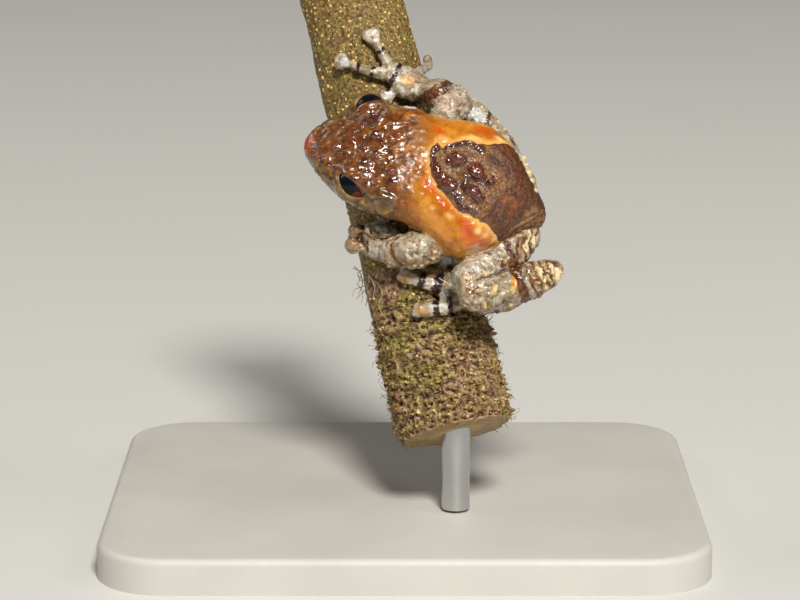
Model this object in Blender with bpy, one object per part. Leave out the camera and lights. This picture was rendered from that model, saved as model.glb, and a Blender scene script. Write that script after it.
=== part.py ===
"""Life-size display model of a small warty bush frog crouched across a leaning stem.

Everything but the stand is laid out in the perch's own frame, in millimetres: X to the right,
Y away from the viewer and Z up along the plane that holds the stem's axis. One empty then tips
that frame back and lifts it above the stand. The origin is the middle of the stand's underside.
"""

import math
import random

import bmesh
import bpy
from mathutils import Matrix, Vector

# General sizes, in millimetres
MM = 0.001
GAP = 0.3                       # clear space between two pieces that meet
FRONT = Vector((0.0, -1.0, 0.0))

# Placing of the perch above the stand
TIP_BACK = math.radians(25.0)   # how far the perch's frame leans away from the viewer
LIFT = 42.5                     # height of the perch frame's origin over the stand's underside
STAND_SHIFT = Vector((0.5, 9.0, 0.0))   # middle of the stand, seen from the perch's origin

# Stem that the frog grips
STEM_RADIUS = 6.25
STEM_TAPER = 0.006              # radius lost for each millimetre of height
STEM_LEAN = math.radians(13.1)
STEM_DEPTH = 10.9               # how far the axis lies behind the frog's middle plane
STEM_BELOW = 28.0
STEM_ABOVE = 34.0
STEM_SIDES = 28
STEM_RINGS = 4

# Display stand
BASE_LENGTH = 68.0
BASE_WIDTH = 60.0
BASE_THICKNESS = 4.0
BASE_CORNER = 8.0
BASE_EDGE = 0.8
ROD_RADIUS = 1.6
ROD_SINK = 5.0                  # how far the rod stands inside the stem

# Body: one spine from snout to vent, bent sideways at the neck
NECK = Vector((0.45, 0.0, 1.5))
HEAD_HEADING = math.radians(11.3)
HEAD_PITCH = math.radians(7.0)
BODY_HEADING = math.radians(24.0)
BODY_ROLL = math.radians(7.0)
NECK_BEND = 3.0                 # half the length over which the spine turns
NECK_CUT = 1.9                  # where the cut between head and torso lies along the spine
BOXINESS = 2.35                 # exponent of the rounded cross section
BODY_RINGS = 34
# Distance along the spine, shift to the frog's right, shift up, half width, back, belly
BODY_STATIONS = (
    (-11.50, 0.40, -0.05, 0.95, 0.70, 0.65),
    (-11.20, 0.40, -0.05, 1.50, 1.05, 1.05),
    (-10.40, 0.35, 0.00, 2.35, 1.45, 1.50),
    (-9.20, 0.25, 0.00, 3.40, 1.90, 2.00),
    (-7.60, 0.10, 0.00, 4.55, 2.30, 2.45),
    (-5.20, 0.00, 0.00, 5.70, 2.75, 2.90),
    (-3.20, 0.00, 0.00, 6.40, 3.05, 3.25),
    (-1.00, 0.00, 0.00, 6.65, 3.20, 3.50),
    (1.60, 0.00, 0.00, 6.45, 3.35, 3.60),
    (4.30, 0.50, 0.00, 6.90, 3.70, 3.85),
    (6.60, 0.45, 0.00, 7.40, 4.00, 3.95),
    (8.90, -0.20, 0.00, 7.60, 4.15, 4.05),
    (10.80, -0.45, -0.10, 6.90, 3.95, 4.00),
    (12.90, -0.15, -0.50, 5.00, 3.35, 3.60),
    (14.60, 0.45, -1.00, 3.20, 2.50, 2.75),
    (16.10, 0.85, -1.50, 1.80, 1.50, 1.70),
    (16.90, 0.85, -1.75, 0.80, 0.75, 0.85),
)
# Angles round half a section, up from the belly, with a lip on each side of the mouth line
MOUTH_ANGLE = -27.0
SECTION_ANGLES = (-90.0, -72.0, -56.0, -43.0, -33.5, MOUTH_ANGLE, -20.5, -10.0,
                  1.0, 12.0, 23.0, 34.0, 45.0, 56.0, 67.0, 78.5, 90.0)
MOUTH_DEPTH = 0.42
MOUTH_END = 0.9                 # station where the corner of the mouth lies

# Eyes and lids
EYE_STATION = -5.1
EYE_SHIFT = 0.4                 # the turned head carries both eyes this far to the frog's right
EYE_SIDE = 4.75
EYE_RISE = 1.6
EYE_RADIUS = 1.65
EYE_FORWARD = 0.30              # share of each eye's look that points forwards
LID_WALL = 0.4
LID_SET_BACK = 0.6              # how far the middle of the lids lies behind the eye's own
LOWER_LID_REACH = 2.1           # from the eye's axis of sight to the middle of the lower lid
LOWER_LID_RADIUS = 0.33
LOWER_LID_RISE = 0.35           # how far the lower lid stands out along the line of sight

# Nostrils, eardrums and the fold over each eardrum, as places along the spine and section angles
NOSTRIL = (-10.3, 62.0)
NOSTRIL_RIM = 0.42
NOSTRIL_PIT = 0.2
EARDRUM = (-0.5, 27.0)
EARDRUM_RADIUS = 0.95
EARDRUM_RIM = 0.2
EAR_FOLD = ((-3.2, 41.0), (-2.0, 46.0), (-0.6, 46.0), (0.6, 38.0), (1.2, 24.0))
EAR_FOLD_RADIUS = 0.3

# Warts: place along the spine, section angle, radius, height
HEAD_WARTS = (
    (-3.4, 78.0, 0.60, 0.30), (-4.0, 56.0, 0.65, 0.30), (-4.4, 92.0, 0.42, 0.26),
    (-3.8, 104.0, 0.60, 0.32), (-2.9, 94.0, 0.50, 0.28), (-0.6, 108.0, 0.55, 0.35),
    (-0.2, 118.0, 0.50, 0.35), (-6.6, 86.0, 0.40, 0.20), (-2.2, 62.0, 0.40, 0.22),
)
SADDLE_WARTS = (
    (3.9, 95.0, 0.75, 0.50), (5.0, 101.0, 0.90, 0.60), (6.3, 105.0, 0.95, 0.60),
    (4.4, 81.0, 0.70, 0.50), (5.7, 84.0, 1.00, 0.65), (5.6, 72.0, 0.60, 0.45),
    (7.3, 93.0, 0.70, 0.50), (8.2, 86.0, 1.05, 0.70), (8.9, 99.0, 1.10, 0.70),
    (10.2, 87.0, 0.75, 0.50), (10.3, 103.0, 0.60, 0.40), (8.6, 70.0, 0.55, 0.40),
)
FLANK_WARTS = 14                # small warts drawn at random over the hind part of the torso
FLANK_WART_RADIUS = (0.28, 0.48)
WART_SIDES = 6

# Cone-shaped tubercles in rows along each limb: how many, and the angles of the rows round it
TUBERCLES = {
    "forearm": (3, (20.0, 110.0)),
    "thigh": (2, (60.0, 120.0)),
    "shank": (4, (25.0, 80.0, 150.0)),
    "tarsus": (3, (190.0,)),
}
TUBERCLE_RADIUS = (0.26, 0.42)
TUBERCLE_HEIGHT = (0.30, 0.50)
TUBERCLE_SIDES = 6
ROOT_SINK = 0.25                # how deep the root of a wart or tubercle lies under the skin

# Folds across the heel end of a shank
HEEL_FOLDS = 5
HEEL_FOLD_START = 0.66          # share of the shank's length where they begin
HEEL_FOLD_RISE = 0.16

# Limbs: x, y, z, radius at each point of their middle line
UPPER_ARMS = {
    "right": ((3.0, 1.6, 5.0, 1.75), (6.2, 2.7, 8.7, 1.5)),
    "left": ((1.6, 1.6, -2.8, 1.85), (3.7, 1.0, -7.6, 1.65)),
}
FOREARMS = {
    "right": ((6.4, 2.5, 9.4, 1.65), (4.9, 3.1, 10.3, 1.8), (3.4, 4.0, 11.1, 1.35)),
    "left": ((3.6, 0.7, -8.1, 1.85), (1.6, 1.5, -8.3, 2.15), (-0.6, 2.5, -8.2, 1.75)),
}
THIGHS = {
    "right": ((12.2, 3.8, -2.0, 2.2), (9.8, 7.4, 2.4, 2.0), (8.0, 7.5, 7.2, 1.7)),
    "left": ((13.6, 2.6, -6.4, 2.3), (11.2, 1.4, -9.4, 2.25), (7.7, -0.2, -12.0, 2.1)),
}
SHANKS = {
    "right": ((7.8, 4.7, 9.0, 1.6), (11.1, 3.9, 4.7, 1.85), (14.6, 5.2, -0.3, 1.3)),
    "left": ((8.2, -0.7, -13.9, 1.85), (12.7, 1.5, -12.4, 2.2), (17.2, 4.0, -10.1, 1.4)),
}
TARSI = {
    "right": ((14.2, 6.8, -1.3, 1.2), (11.8, 10.4, -1.4, 1.15), (8.8, 10.8, 1.3, 1.25)),
    "left": ((16.7, 5.9, -10.6, 1.2), (12.6, 6.0, -12.8, 1.15), (9.2, 5.2, -13.6, 1.25)),
}
LIMB_SIDES = 12

# Hands and feet: places on the stem as height along its axis and angle round it from the front
PALMS = {
    "hand_right": ((11.0, 50.0, 1.4), (11.9, 32.0, 1.75), (13.0, 18.0, 1.45)),
    "hand_left": ((-6.8, -17.0, 1.85), (-5.9, -30.0, 2.2), (-4.9, -41.0, 1.8)),
    "foot_right": ((1.0, 84.0, 1.4), (1.6, 96.0, 1.7), (2.2, 108.0, 1.5)),
    "foot_left": ((-13.5, 44.0, 1.4), (-13.1, 37.0, 1.75), (-12.9, 30.0, 1.7)),
}
PALM_THICKNESS = 0.62           # thickness of a palm against its width
PALM_SIDES = 10
DIGITS = {
    "hand_right": (
        ((11.7, 27.0), (11.0, 17.0), (10.6, 9.0)),
        ((12.9, 15.0), (13.7, -1.0), (14.8, -14.0), (15.8, -25.0)),
        ((13.1, 17.0), (14.8, 14.5), (16.3, 11.5), (17.8, 8.0)),
        ((12.4, 34.0), (13.5, 54.0), (14.6, 74.0), (15.6, 94.0)),
    ),
    "hand_left": (
        ((-5.4, -29.0), (-4.3, -25.0), (-3.4, -22.0)),
        ((-4.7, -40.0), (-3.5, -56.0), (-2.8, -70.0), (-2.5, -84.0)),
        ((-5.0, -44.0), (-4.4, -60.0), (-4.0, -76.0), (-3.8, -92.0)),
        ((-5.5, -42.0), (-5.3, -60.0), (-5.1, -78.0), (-5.0, -96.0)),
    ),
    "foot_right": (
        ((3.4, 96.0), (5.0, 103.0), (6.0, 110.0)),
        ((3.2, 104.0), (4.6, 115.0), (5.6, 127.0)),
        ((2.6, 108.0), (3.0, 125.0), (3.2, 143.0), (3.3, 158.0)),
        ((1.8, 108.0), (1.0, 128.0), (0.4, 148.0), (0.0, 168.0)),
        ((0.8, 102.0), (-1.4, 116.0), (-2.9, 132.0), (-3.9, 148.0)),
    ),
    "foot_left": (
        ((-12.2, 43.0), (-10.9, 48.0), (-9.9, 52.0)),
        ((-12.1, 38.0), (-10.6, 38.0), (-9.2, 37.0)),
        ((-12.4, 32.0), (-10.8, 26.0), (-9.3, 19.5)),
        ((-12.9, 30.0), (-12.5, 14.0), (-11.6, -1.0), (-10.6, -14.0)),
        ((-13.9, 33.0), (-14.9, 21.0), (-15.0, 6.0), (-14.8, -8.0)),
    ),
}
DIGIT_SIDES = 6
# Radius of a digit at its root and neck, half width of its disc
DIGIT_SIZES = {"hand": (0.80, 0.52, 1.12), "foot": (0.82, 0.64, 0.95)}
DISC_LENGTH = 0.85
DISC_THICKNESS = 0.55
DISC_SIDES = 8
WEB_SHARE = 0.5                 # how far along the toes the webs reach
WEB_THICKNESS = 0.55
WEB_LIFT = 0.13                 # how far a web lies above the soles of the toes
WEB_OVERLAP = 0.12              # share of its width by which a web enters each toe
WEB_STEPS = 2

# Colour, roughness and metallic value of each material
FINISHES = {
    "head": ((0.19, 0.05, 0.02, 1.0), 0.25, 0.0),
    "torso": ((0.62, 0.25, 0.06, 1.0), 0.35, 0.0),
    "limb": ((0.40, 0.38, 0.33, 1.0), 0.45, 0.0),
    "eye": ((0.01, 0.01, 0.02, 1.0), 0.05, 0.0),
    "stem": ((0.19, 0.14, 0.05, 1.0), 0.85, 0.0),
    "base": ((0.78, 0.77, 0.74, 1.0), 0.5, 0.0),
    "rod": ((0.56, 0.57, 0.58, 1.0), 0.3, 1.0),
}


def clear_scene():
    for item in list(bpy.data.objects):
        bpy.data.objects.remove(item, do_unlink=True)


def material(finish):
    """The Principled material of one finish, made once and shared."""
    found = bpy.data.materials.get(finish)
    if found:
        return found
    colour, roughness, metallic = FINISHES[finish]
    made = bpy.data.materials.new(finish)
    made.use_nodes = True
    shader = made.node_tree.nodes["Principled BSDF"]
    shader.inputs["Base Color"].default_value = colour
    shader.inputs["Roughness"].default_value = roughness
    shader.inputs["Metallic"].default_value = metallic
    return made


def new_object(name, verts, faces, finish="limb"):
    """A closed mesh object from points in millimetres, its faces turned outwards."""
    mesh = bpy.data.meshes.new(name)
    mesh.from_pydata([Vector(vert) * MM for vert in verts], [], faces)
    shape = bmesh.new()
    shape.from_mesh(mesh)
    bmesh.ops.recalc_face_normals(shape, faces=shape.faces)
    shape.to_mesh(mesh)
    shape.free()
    mesh.materials.append(material(finish))
    made = bpy.data.objects.new(name, mesh)
    bpy.context.scene.collection.objects.link(made)
    return made


def keep_largest(shape):
    """Leaves only the largest closed surface of a bmesh."""
    left = set(shape.faces)
    islands = []
    while left:
        island = {left.pop()}
        edge_of_search = list(island)
        while edge_of_search:
            face = edge_of_search.pop()
            for edge in face.edges:
                for other in edge.link_faces:
                    if other in left:
                        left.discard(other)
                        island.add(other)
                        edge_of_search.append(other)
        islands.append(island)
    islands.sort(key=lambda faces: sum(face.calc_area() for face in faces))
    for scrap in islands[:-1]:
        bmesh.ops.delete(shape, geom=list(scrap), context="FACES")


def combine(target, others, operation):
    """Joins closed meshes to the target, or cuts them from it, and removes them."""
    group = bpy.data.collections.new("pieces")
    for other in others:
        group.objects.link(other)
    step = target.modifiers.new("combine", "BOOLEAN")
    step.operation = operation
    step.operand_type = "COLLECTION"
    step.collection = group
    step.solver = "EXACT"
    bpy.context.view_layer.update()
    seen = target.evaluated_get(bpy.context.evaluated_depsgraph_get())
    result = bpy.data.meshes.new_from_object(seen)
    target.modifiers.clear()
    target.data = result
    for other in others:
        bpy.data.objects.remove(other, do_unlink=True)
    bpy.data.collections.remove(group)
    shape = bmesh.new()
    shape.from_mesh(result)
    keep_largest(shape)
    shape.to_mesh(result)
    shape.free()
    return target


def finish_piece(piece, name, finish):
    """Names a finished piece, gives it its own material slot and smooth shading."""
    piece.name = name
    piece.data.name = name
    piece.data.materials.clear()
    piece.data.materials.append(material(finish))
    piece.data.shade_smooth()
    piece.data.set_sharp_from_angle(angle=math.radians(50.0))
    return piece


def spline(rows, steps):
    """A smooth row of values through the given rows, with a number of steps for each span."""
    rows = [Vector(row) for row in rows]
    made = []
    for index in range(len(rows) - 1):
        start, end = rows[index], rows[index + 1]
        before = rows[index - 1] if index else start * 2 - end
        after = rows[index + 2] if index + 2 < len(rows) else end * 2 - start
        for step in range(steps):
            t = step / steps
            made.append(start + 0.5 * t * (end - before + t * (2 * before - 5 * start + 4 * end - after
                                           + t * (3 * (start - end) + after - before))))
    made.append(rows[-1])
    return made


def stations_at(table, place):
    """Values of a table of rows at a place along its first column, on a smooth curve."""
    rows = [Vector(row) for row in table]
    places = [row[0] for row in table]
    index = max(0, min(len(rows) - 2, sum(1 for value in places if value <= place) - 1))

    def slope(at):
        low, high = max(0, at - 1), min(len(rows) - 1, at + 1)
        return (rows[high] - rows[low]) / (places[high] - places[low])

    span = places[index + 1] - places[index]
    t = (place - places[index]) / span
    start_weight = 2 * t ** 3 - 3 * t ** 2 + 1
    start_slope = (t ** 3 - 2 * t ** 2 + t) * span
    end_weight = 3 * t ** 2 - 2 * t ** 3
    end_slope = (t ** 3 - t ** 2) * span
    return (rows[index] * start_weight + slope(index) * start_slope
            + rows[index + 1] * end_weight + slope(index + 1) * end_slope)


def stem_radius(height):
    return STEM_RADIUS - STEM_TAPER * height


def on_stem(height, turn, clearance):
    """Point at a height along the stem and an angle round it, clear of its surface."""
    along = Vector((-math.sin(STEM_LEAN), 0.0, math.cos(STEM_LEAN)))
    across = Vector((math.cos(STEM_LEAN), 0.0, math.sin(STEM_LEAN)))
    reach = stem_radius(height) + clearance
    turn = math.radians(turn)
    middle = Vector((0.0, STEM_DEPTH, 0.0)) + along * height
    return middle + across * reach * math.sin(turn) + FRONT * reach * math.cos(turn)


def away_from_stem(point):
    """Direction straight out from the stem's axis at a point."""
    along = Vector((-math.sin(STEM_LEAN), 0.0, math.cos(STEM_LEAN)))
    arm = point - Vector((0.0, STEM_DEPTH, 0.0))
    return (arm - along * arm.dot(along)).normalized()


def loft(rings, start_pole, end_pole):
    """Points and faces of a closed skin over equal rings, with a pole at each end."""
    count = len(rings[0])
    verts = [point for ring in rings for point in ring]
    faces = []
    for ring in range(len(rings) - 1):
        for side in range(count):
            nxt = (side + 1) % count
            faces.append((ring * count + side, ring * count + nxt,
                          (ring + 1) * count + nxt, (ring + 1) * count + side))
    verts += [start_pole, end_pole]
    last = (len(rings) - 1) * count
    for side in range(count):
        nxt = (side + 1) % count
        faces.append((nxt, side, len(verts) - 2))
        faces.append((last + side, last + nxt, len(verts) - 1))
    return verts, faces


def tube(name, path, flatten=1.0, outward=None, sides=LIMB_SIDES, grow=0.0, cap_rings=2):
    """A round-ended tube along x, y, z, radius rows. It is thinner by flatten along outward."""
    points = [Vector(row[:3]) for row in path]
    radii = [row[3] for row in path]
    rings = []

    def ring(centre, tangent, wide, thick):
        facing = outward(centre) if outward else FRONT
        side = tangent.cross(facing).normalized()
        facing = side.cross(tangent).normalized()
        return [centre + side * wide * math.cos(2 * math.pi * k / sides)
                + facing * thick * math.sin(2 * math.pi * k / sides) for k in range(sides)]

    count = len(points)
    tangents = [(points[min(k + 1, count - 1)] - points[max(k - 1, 0)]).normalized() for k in range(count)]

    def cap(at, sign):
        made = []
        for step in range(1, cap_rings + 1):
            bend = math.pi / 2 * step / (cap_rings + 1)
            centre = points[at] + tangents[at] * sign * (radii[at] * flatten + grow) * math.sin(bend)
            made.append(ring(centre, tangents[at], (radii[at] + grow) * math.cos(bend),
                             (radii[at] * flatten + grow) * math.cos(bend)))
        return made

    rings = cap(0, -1)[::-1]
    for k in range(count):
        rings.append(ring(points[k], tangents[k], radii[k] + grow, radii[k] * flatten + grow))
    rings += cap(count - 1, 1)
    start_pole = points[0] - tangents[0] * (radii[0] * flatten + grow)
    end_pole = points[-1] + tangents[-1] * (radii[-1] * flatten + grow)
    return new_object(name, *loft(rings, start_pole, end_pole))


def ball(name, centre, axes, sides=16, rings=8):
    """An ellipsoid whose three half axes are given as vectors."""
    wide, deep, tall = axes
    layers = []
    for ring in range(1, rings):
        rise = math.pi * ring / rings - math.pi / 2
        layers.append([centre + tall * math.sin(rise)
                       + wide * math.cos(rise) * math.cos(2 * math.pi * k / sides)
                       + deep * math.cos(rise) * math.sin(2 * math.pi * k / sides) for k in range(sides)])
    return new_object(name, *loft(layers, centre - tall, centre + tall))


def stem_shell():
    """The cut length of stem, a tapering round bar."""
    rings = []
    for step in range(STEM_RINGS + 1):
        height = -STEM_BELOW + (STEM_BELOW + STEM_ABOVE) * step / STEM_RINGS
        rings.append([on_stem(height, 360.0 * k / STEM_SIDES, 0.0) for k in range(STEM_SIDES)])
    axis_low = on_stem(-STEM_BELOW, 0.0, -stem_radius(-STEM_BELOW))
    axis_high = on_stem(STEM_ABOVE, 0.0, -stem_radius(STEM_ABOVE))
    return new_object("stem", *loft(rings, axis_low, axis_high), finish="stem")


def spine_frame(place):
    """Middle of the body at a place along the spine, with its backward, right and up directions."""
    head = Vector((math.cos(HEAD_HEADING), 0.0, -math.sin(HEAD_HEADING))) * math.cos(HEAD_PITCH)
    head += FRONT * math.sin(HEAD_PITCH)
    body = Vector((math.cos(BODY_HEADING), 0.0, -math.sin(BODY_HEADING)))
    if place < -NECK_BEND:
        head_share, body_share = 1.0, 0.0
        middle = NECK + head * place
    elif place > NECK_BEND:
        head_share, body_share = 0.0, 1.0
        middle = NECK + body * place
    else:
        head_share = (NECK_BEND - place) / (2 * NECK_BEND)
        body_share = 1.0 - head_share
        middle = NECK + body * NECK_BEND * body_share ** 2 - head * NECK_BEND * head_share ** 2
    back = (head * head_share + body * body_share).normalized()
    right = FRONT.cross(back).normalized()
    up = back.cross(right).normalized()
    turn = Matrix.Rotation(-BODY_ROLL, 3, back)
    return middle, back, turn @ right, turn @ up


def body_point(place, angle):
    """Point on the body's skin at a place along the spine and an angle round its section."""
    middle, back, right, up = spine_frame(place)
    row = stations_at(BODY_STATIONS, place)
    shift, lift, half_width, back_rise, belly_drop = row[1], row[2], row[3], row[4], row[5]
    turn = math.radians(angle)
    power = 2.0 / BOXINESS
    wide = math.copysign(abs(math.cos(turn)) ** power, math.cos(turn))
    tall = math.copysign(abs(math.sin(turn)) ** power, math.sin(turn))
    height = back_rise if tall > 0 else belly_drop
    inset = 0.0
    mirrored = angle if -90.0 <= angle <= 90.0 else 180.0 - angle
    if abs(mirrored - MOUTH_ANGLE) < 1.0 and place < MOUTH_END:
        inset = MOUTH_DEPTH * min(1.0, (MOUTH_END - place) / 2.0, half_width / 3.0)
    return middle + right * (shift + (half_width - inset) * wide) + up * (lift + height * tall)


def body_shell():
    """The whole body from snout to vent as one closed skin."""
    around = list(SECTION_ANGLES) + [180.0 - angle for angle in SECTION_ANGLES[-2:0:-1]]
    first, last = BODY_STATIONS[0][0], BODY_STATIONS[-1][0]
    rings = []
    for step in range(BODY_RINGS + 1):
        t = step / BODY_RINGS
        # Rings lie closer together towards both ends
        place = first + (last - first) * (t - math.sin(2 * math.pi * t) * 0.07)
        rings.append([body_point(place, angle) for angle in around])
    tips = []
    for place, out in ((first, -0.3), (last, 0.3)):
        middle, back, right, up = spine_frame(place)
        row = stations_at(BODY_STATIONS, place)
        tips.append(middle + right * row[1] + up * row[2] + back * out)
    return new_object("body", *loft(rings, tips[0], tips[1]))


def cut_at_neck(piece, keep_front):
    """Takes away all that lies on one side of the neck, half a gap clear of the cut."""
    middle, back, right, up = spine_frame(NECK_CUT)
    reach = 40.0
    start = middle + back * (-GAP / 2 if keep_front else GAP / 2)
    away = back if keep_front else -back
    corners = []
    for depth in (0.0, reach):
        for side, rise in ((-1, -1), (1, -1), (1, 1), (-1, 1)):
            corners.append(start + away * depth + right * reach * side + up * reach * rise)
    faces = [(0, 1, 2, 3), (4, 5, 6, 7), (0, 1, 5, 4), (1, 2, 6, 5), (2, 3, 7, 6), (3, 0, 4, 7)]
    block = new_object("neck_block", corners, faces)
    return combine(piece, [block], "DIFFERENCE")


def eye_centre(side):
    """Centre of an eyeball; side is 1 for the frog's right and -1 for its left."""
    middle, back, right, up = spine_frame(EYE_STATION)
    return middle + right * (EYE_SHIFT + EYE_SIDE * side) + up * EYE_RISE


def eye_look(side):
    """Direction in which an eye faces: outwards, a little up and forwards."""
    middle, back, right, up = spine_frame(EYE_STATION)
    return (right * side + up * 0.42 - back * EYE_FORWARD).normalized()


def eye_axes(side, size):
    """Half axes of a round form about an eye, its poles along the line of sight."""
    look = eye_look(side)
    middle, back, right, up = spine_frame(EYE_STATION)
    level = look.cross(up).normalized()
    return level * size, look.cross(level).normalized() * size, look * size


def skin_spot(place, angle):
    """A point on the body's skin with its outward, backward and sideways directions."""
    step = 0.05
    spot = body_point(place, angle)
    back = (body_point(place + step, angle) - body_point(place - step, angle)).normalized()
    aside = (body_point(place, angle + 1.0) - body_point(place, angle - 1.0)).normalized()
    outward = aside.cross(back).normalized()
    if outward.dot(spot - spine_frame(place)[0]) < 0:
        outward = -outward
    return spot, outward, back, aside


def mirrored_angle(angle, side):
    """A section angle on the frog's right, or the same one on its left."""
    return angle if side > 0 else 180.0 - angle


def wart(place, angle, radius, height):
    """A low round wart whose root lies under the skin."""
    spot, outward, back, aside = skin_spot(place, angle)
    axes = (back * radius, outward.cross(back) * radius * 0.85, outward * (height + ROOT_SINK))
    return ball("wart", spot - outward * ROOT_SINK * 0.5, axes, sides=WART_SIDES, rings=4)


def lower_lid(side):
    """The thin lower lid, a round fold along the belly side of the eye."""
    look = eye_look(side)
    middle, back, right, up = spine_frame(EYE_STATION)
    level = look.cross(up).normalized()
    rise = level.cross(look).normalized()
    rise = rise if rise.dot(up) > 0 else -rise
    path = []
    for step in range(9):
        turn = math.radians(-15.0 - 150.0 * step / 8)
        spot = eye_centre(side) + look * LOWER_LID_RISE
        spot += (level * math.cos(turn) + rise * math.sin(turn)) * LOWER_LID_REACH
        path.append((*spot, LOWER_LID_RADIUS))
    return tube("lower_lid", path, outward=lambda point: look, sides=7)


def eardrum(side):
    """A shallow disc with a raised rim."""
    spot, outward, back, aside = skin_spot(EARDRUM[0], mirrored_angle(EARDRUM[1], side))
    aside = outward.cross(back)
    pieces = [ball("drum", spot - outward * 0.1, (back * EARDRUM_RADIUS, aside * EARDRUM_RADIUS,
                                                 outward * 0.22), sides=14, rings=4)]
    around, section = 16, 6
    verts, faces = [], []
    for turn in range(around):
        angle = 2 * math.pi * turn / around
        arm = back * math.cos(angle) + aside * math.sin(angle)
        for corner in range(section):
            bend = 2 * math.pi * corner / section
            verts.append(spot + arm * (EARDRUM_RADIUS + EARDRUM_RIM * math.cos(bend))
                         + outward * (EARDRUM_RIM * math.sin(bend) + 0.02))
            nxt_turn, nxt_corner = (turn + 1) % around, (corner + 1) % section
            faces.append((turn * section + corner, nxt_turn * section + corner,
                          nxt_turn * section + nxt_corner, turn * section + nxt_corner))
    pieces.append(new_object("rim", verts, faces))
    return pieces


def ear_fold(side):
    """The fold of skin that runs from the eye over the eardrum to the shoulder."""
    path = []
    for place, angle in EAR_FOLD:
        spot, outward, back, aside = skin_spot(place, mirrored_angle(angle, side))
        path.append((*spot, EAR_FOLD_RADIUS))
    return tube("ear_fold", limb_path(path, 2), sides=7, cap_rings=1,
                outward=lambda point: (point - NECK).normalized())


def make_head():
    """The head with lids, eye sockets, nostrils, eardrums, lips and warts, clear of the arms."""
    head = cut_at_neck(body_shell(), keep_front=True)
    raised = [wart(*sizes) for sizes in HEAD_WARTS]
    for side in (1, -1):
        look = eye_look(side)
        lid_size = EYE_RADIUS + GAP + LID_WALL
        raised.append(ball("lid", eye_centre(side) - look * LID_SET_BACK, eye_axes(side, lid_size)))
        raised.append(lower_lid(side))
        raised += eardrum(side)
        raised.append(ear_fold(side))
        spot, outward, back, aside = skin_spot(NOSTRIL[0], mirrored_angle(NOSTRIL[1], side))
        sizes = (back * NOSTRIL_RIM * 1.2, outward.cross(back) * NOSTRIL_RIM, outward * NOSTRIL_RIM * 0.8)
        raised.append(ball("nostril", spot - outward * 0.1, sizes, sides=10, rings=5))
    combine(head, raised, "UNION")
    hollows = []
    for side in (1, -1):
        look = eye_look(side)
        centre = eye_centre(side)
        path = ((*centre, EYE_RADIUS + GAP), (*(centre + look * 3.0), EYE_RADIUS - 0.1))
        hollows.append(tube("socket", path, sides=16, cap_rings=4))
        spot, outward, back, aside = skin_spot(NOSTRIL[0], mirrored_angle(NOSTRIL[1], side))
        sizes = (back * NOSTRIL_PIT * 1.3, outward.cross(back) * NOSTRIL_PIT, outward * 0.45)
        hollows.append(ball("pit", spot + outward * 0.25, sizes, sides=7, rings=4))
    hollows += [wider(rows[side]) for rows in (UPPER_ARMS, FOREARMS) for side in ("right", "left")]
    return combine(head, hollows, "DIFFERENCE")


def make_torso():
    """The torso with its warts, hollowed where the limbs press into it."""
    torso = cut_at_neck(body_shell(), keep_front=False)
    draw = random.Random(11)
    warts = [wart(*sizes) for sizes in SADDLE_WARTS]
    for _ in range(FLANK_WARTS):
        radius = draw.uniform(*FLANK_WART_RADIUS)
        warts.append(wart(draw.uniform(5.0, 14.8), draw.uniform(8.0, 172.0), radius, radius * 0.6))
    combine(torso, warts, "UNION")
    limbs = [rows[side] for rows in (UPPER_ARMS, FOREARMS, THIGHS, SHANKS) for side in ("right", "left")]
    return combine(torso, [wider(rows) for rows in limbs], "DIFFERENCE")


def tubercle(spot, outward, radius, height):
    """A cone with its root sunk under the skin."""
    across = outward.orthogonal().normalized()
    third = outward.cross(across)
    base = spot - outward * ROOT_SINK
    ring = [base + (across * math.cos(2 * math.pi * k / TUBERCLE_SIDES)
                    + third * math.sin(2 * math.pi * k / TUBERCLE_SIDES)) * radius * 1.2
            for k in range(TUBERCLE_SIDES)]
    faces = [(k, (k + 1) % TUBERCLE_SIDES, TUBERCLE_SIDES) for k in range(TUBERCLE_SIDES)]
    faces.append(tuple(range(TUBERCLE_SIDES)))
    return new_object("tubercle", ring + [spot + outward * height], faces)


def limb_tubercles(kind, rows, seed):
    """Cones in rows along a limb, each a little off its even place."""
    count, turns = TUBERCLES[kind]
    draw = random.Random(seed)
    path = [Vector(row) for row in limb_path(rows, 8)]
    cones = []
    for turn in turns:
        for step in range(count):
            share = (step + 0.5 + draw.uniform(-0.25, 0.25)) / count
            at = max(1, min(len(path) - 2, round(share * (len(path) - 1))))
            centre, tangent = path[at].xyz, (path[at + 1].xyz - path[at - 1].xyz).normalized()
            side = tangent.cross(FRONT).normalized()
            facing = side.cross(tangent).normalized()
            angle = math.radians(turn + draw.uniform(-18.0, 18.0))
            outward = side * math.cos(angle) + facing * math.sin(angle)
            cones.append(tubercle(centre + outward * path[at].w, outward,
                                  draw.uniform(*TUBERCLE_RADIUS), draw.uniform(*TUBERCLE_HEIGHT)))
    return cones


def folded_path(rows):
    """A shank's path whose radius rises and falls in folds towards the heel."""
    path = [Vector(row) for row in spline(rows, 4)]
    steps = HEEL_FOLDS * 2
    kept = [row for at, row in enumerate(path) if at / (len(path) - 1) < HEEL_FOLD_START]
    for step in range(steps + 1):
        share = HEEL_FOLD_START + (1.0 - HEEL_FOLD_START) * step / steps
        place = share * (len(path) - 1)
        low = min(len(path) - 2, int(place))
        row = path[low].lerp(path[low + 1], place - low)
        row.w += HEEL_FOLD_RISE * (1 if step % 2 else -1)
        kept.append(row)
    return [tuple(row) for row in kept]


def limb_path(rows, steps=4):
    return [tuple(row) for row in spline(rows, steps)]


def palm_path(key):
    rows = []
    for height, turn, radius in PALMS[key]:
        rows.append((*on_stem(height, turn, GAP + radius * PALM_THICKNESS), radius))
    return limb_path(rows, 3)


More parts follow.
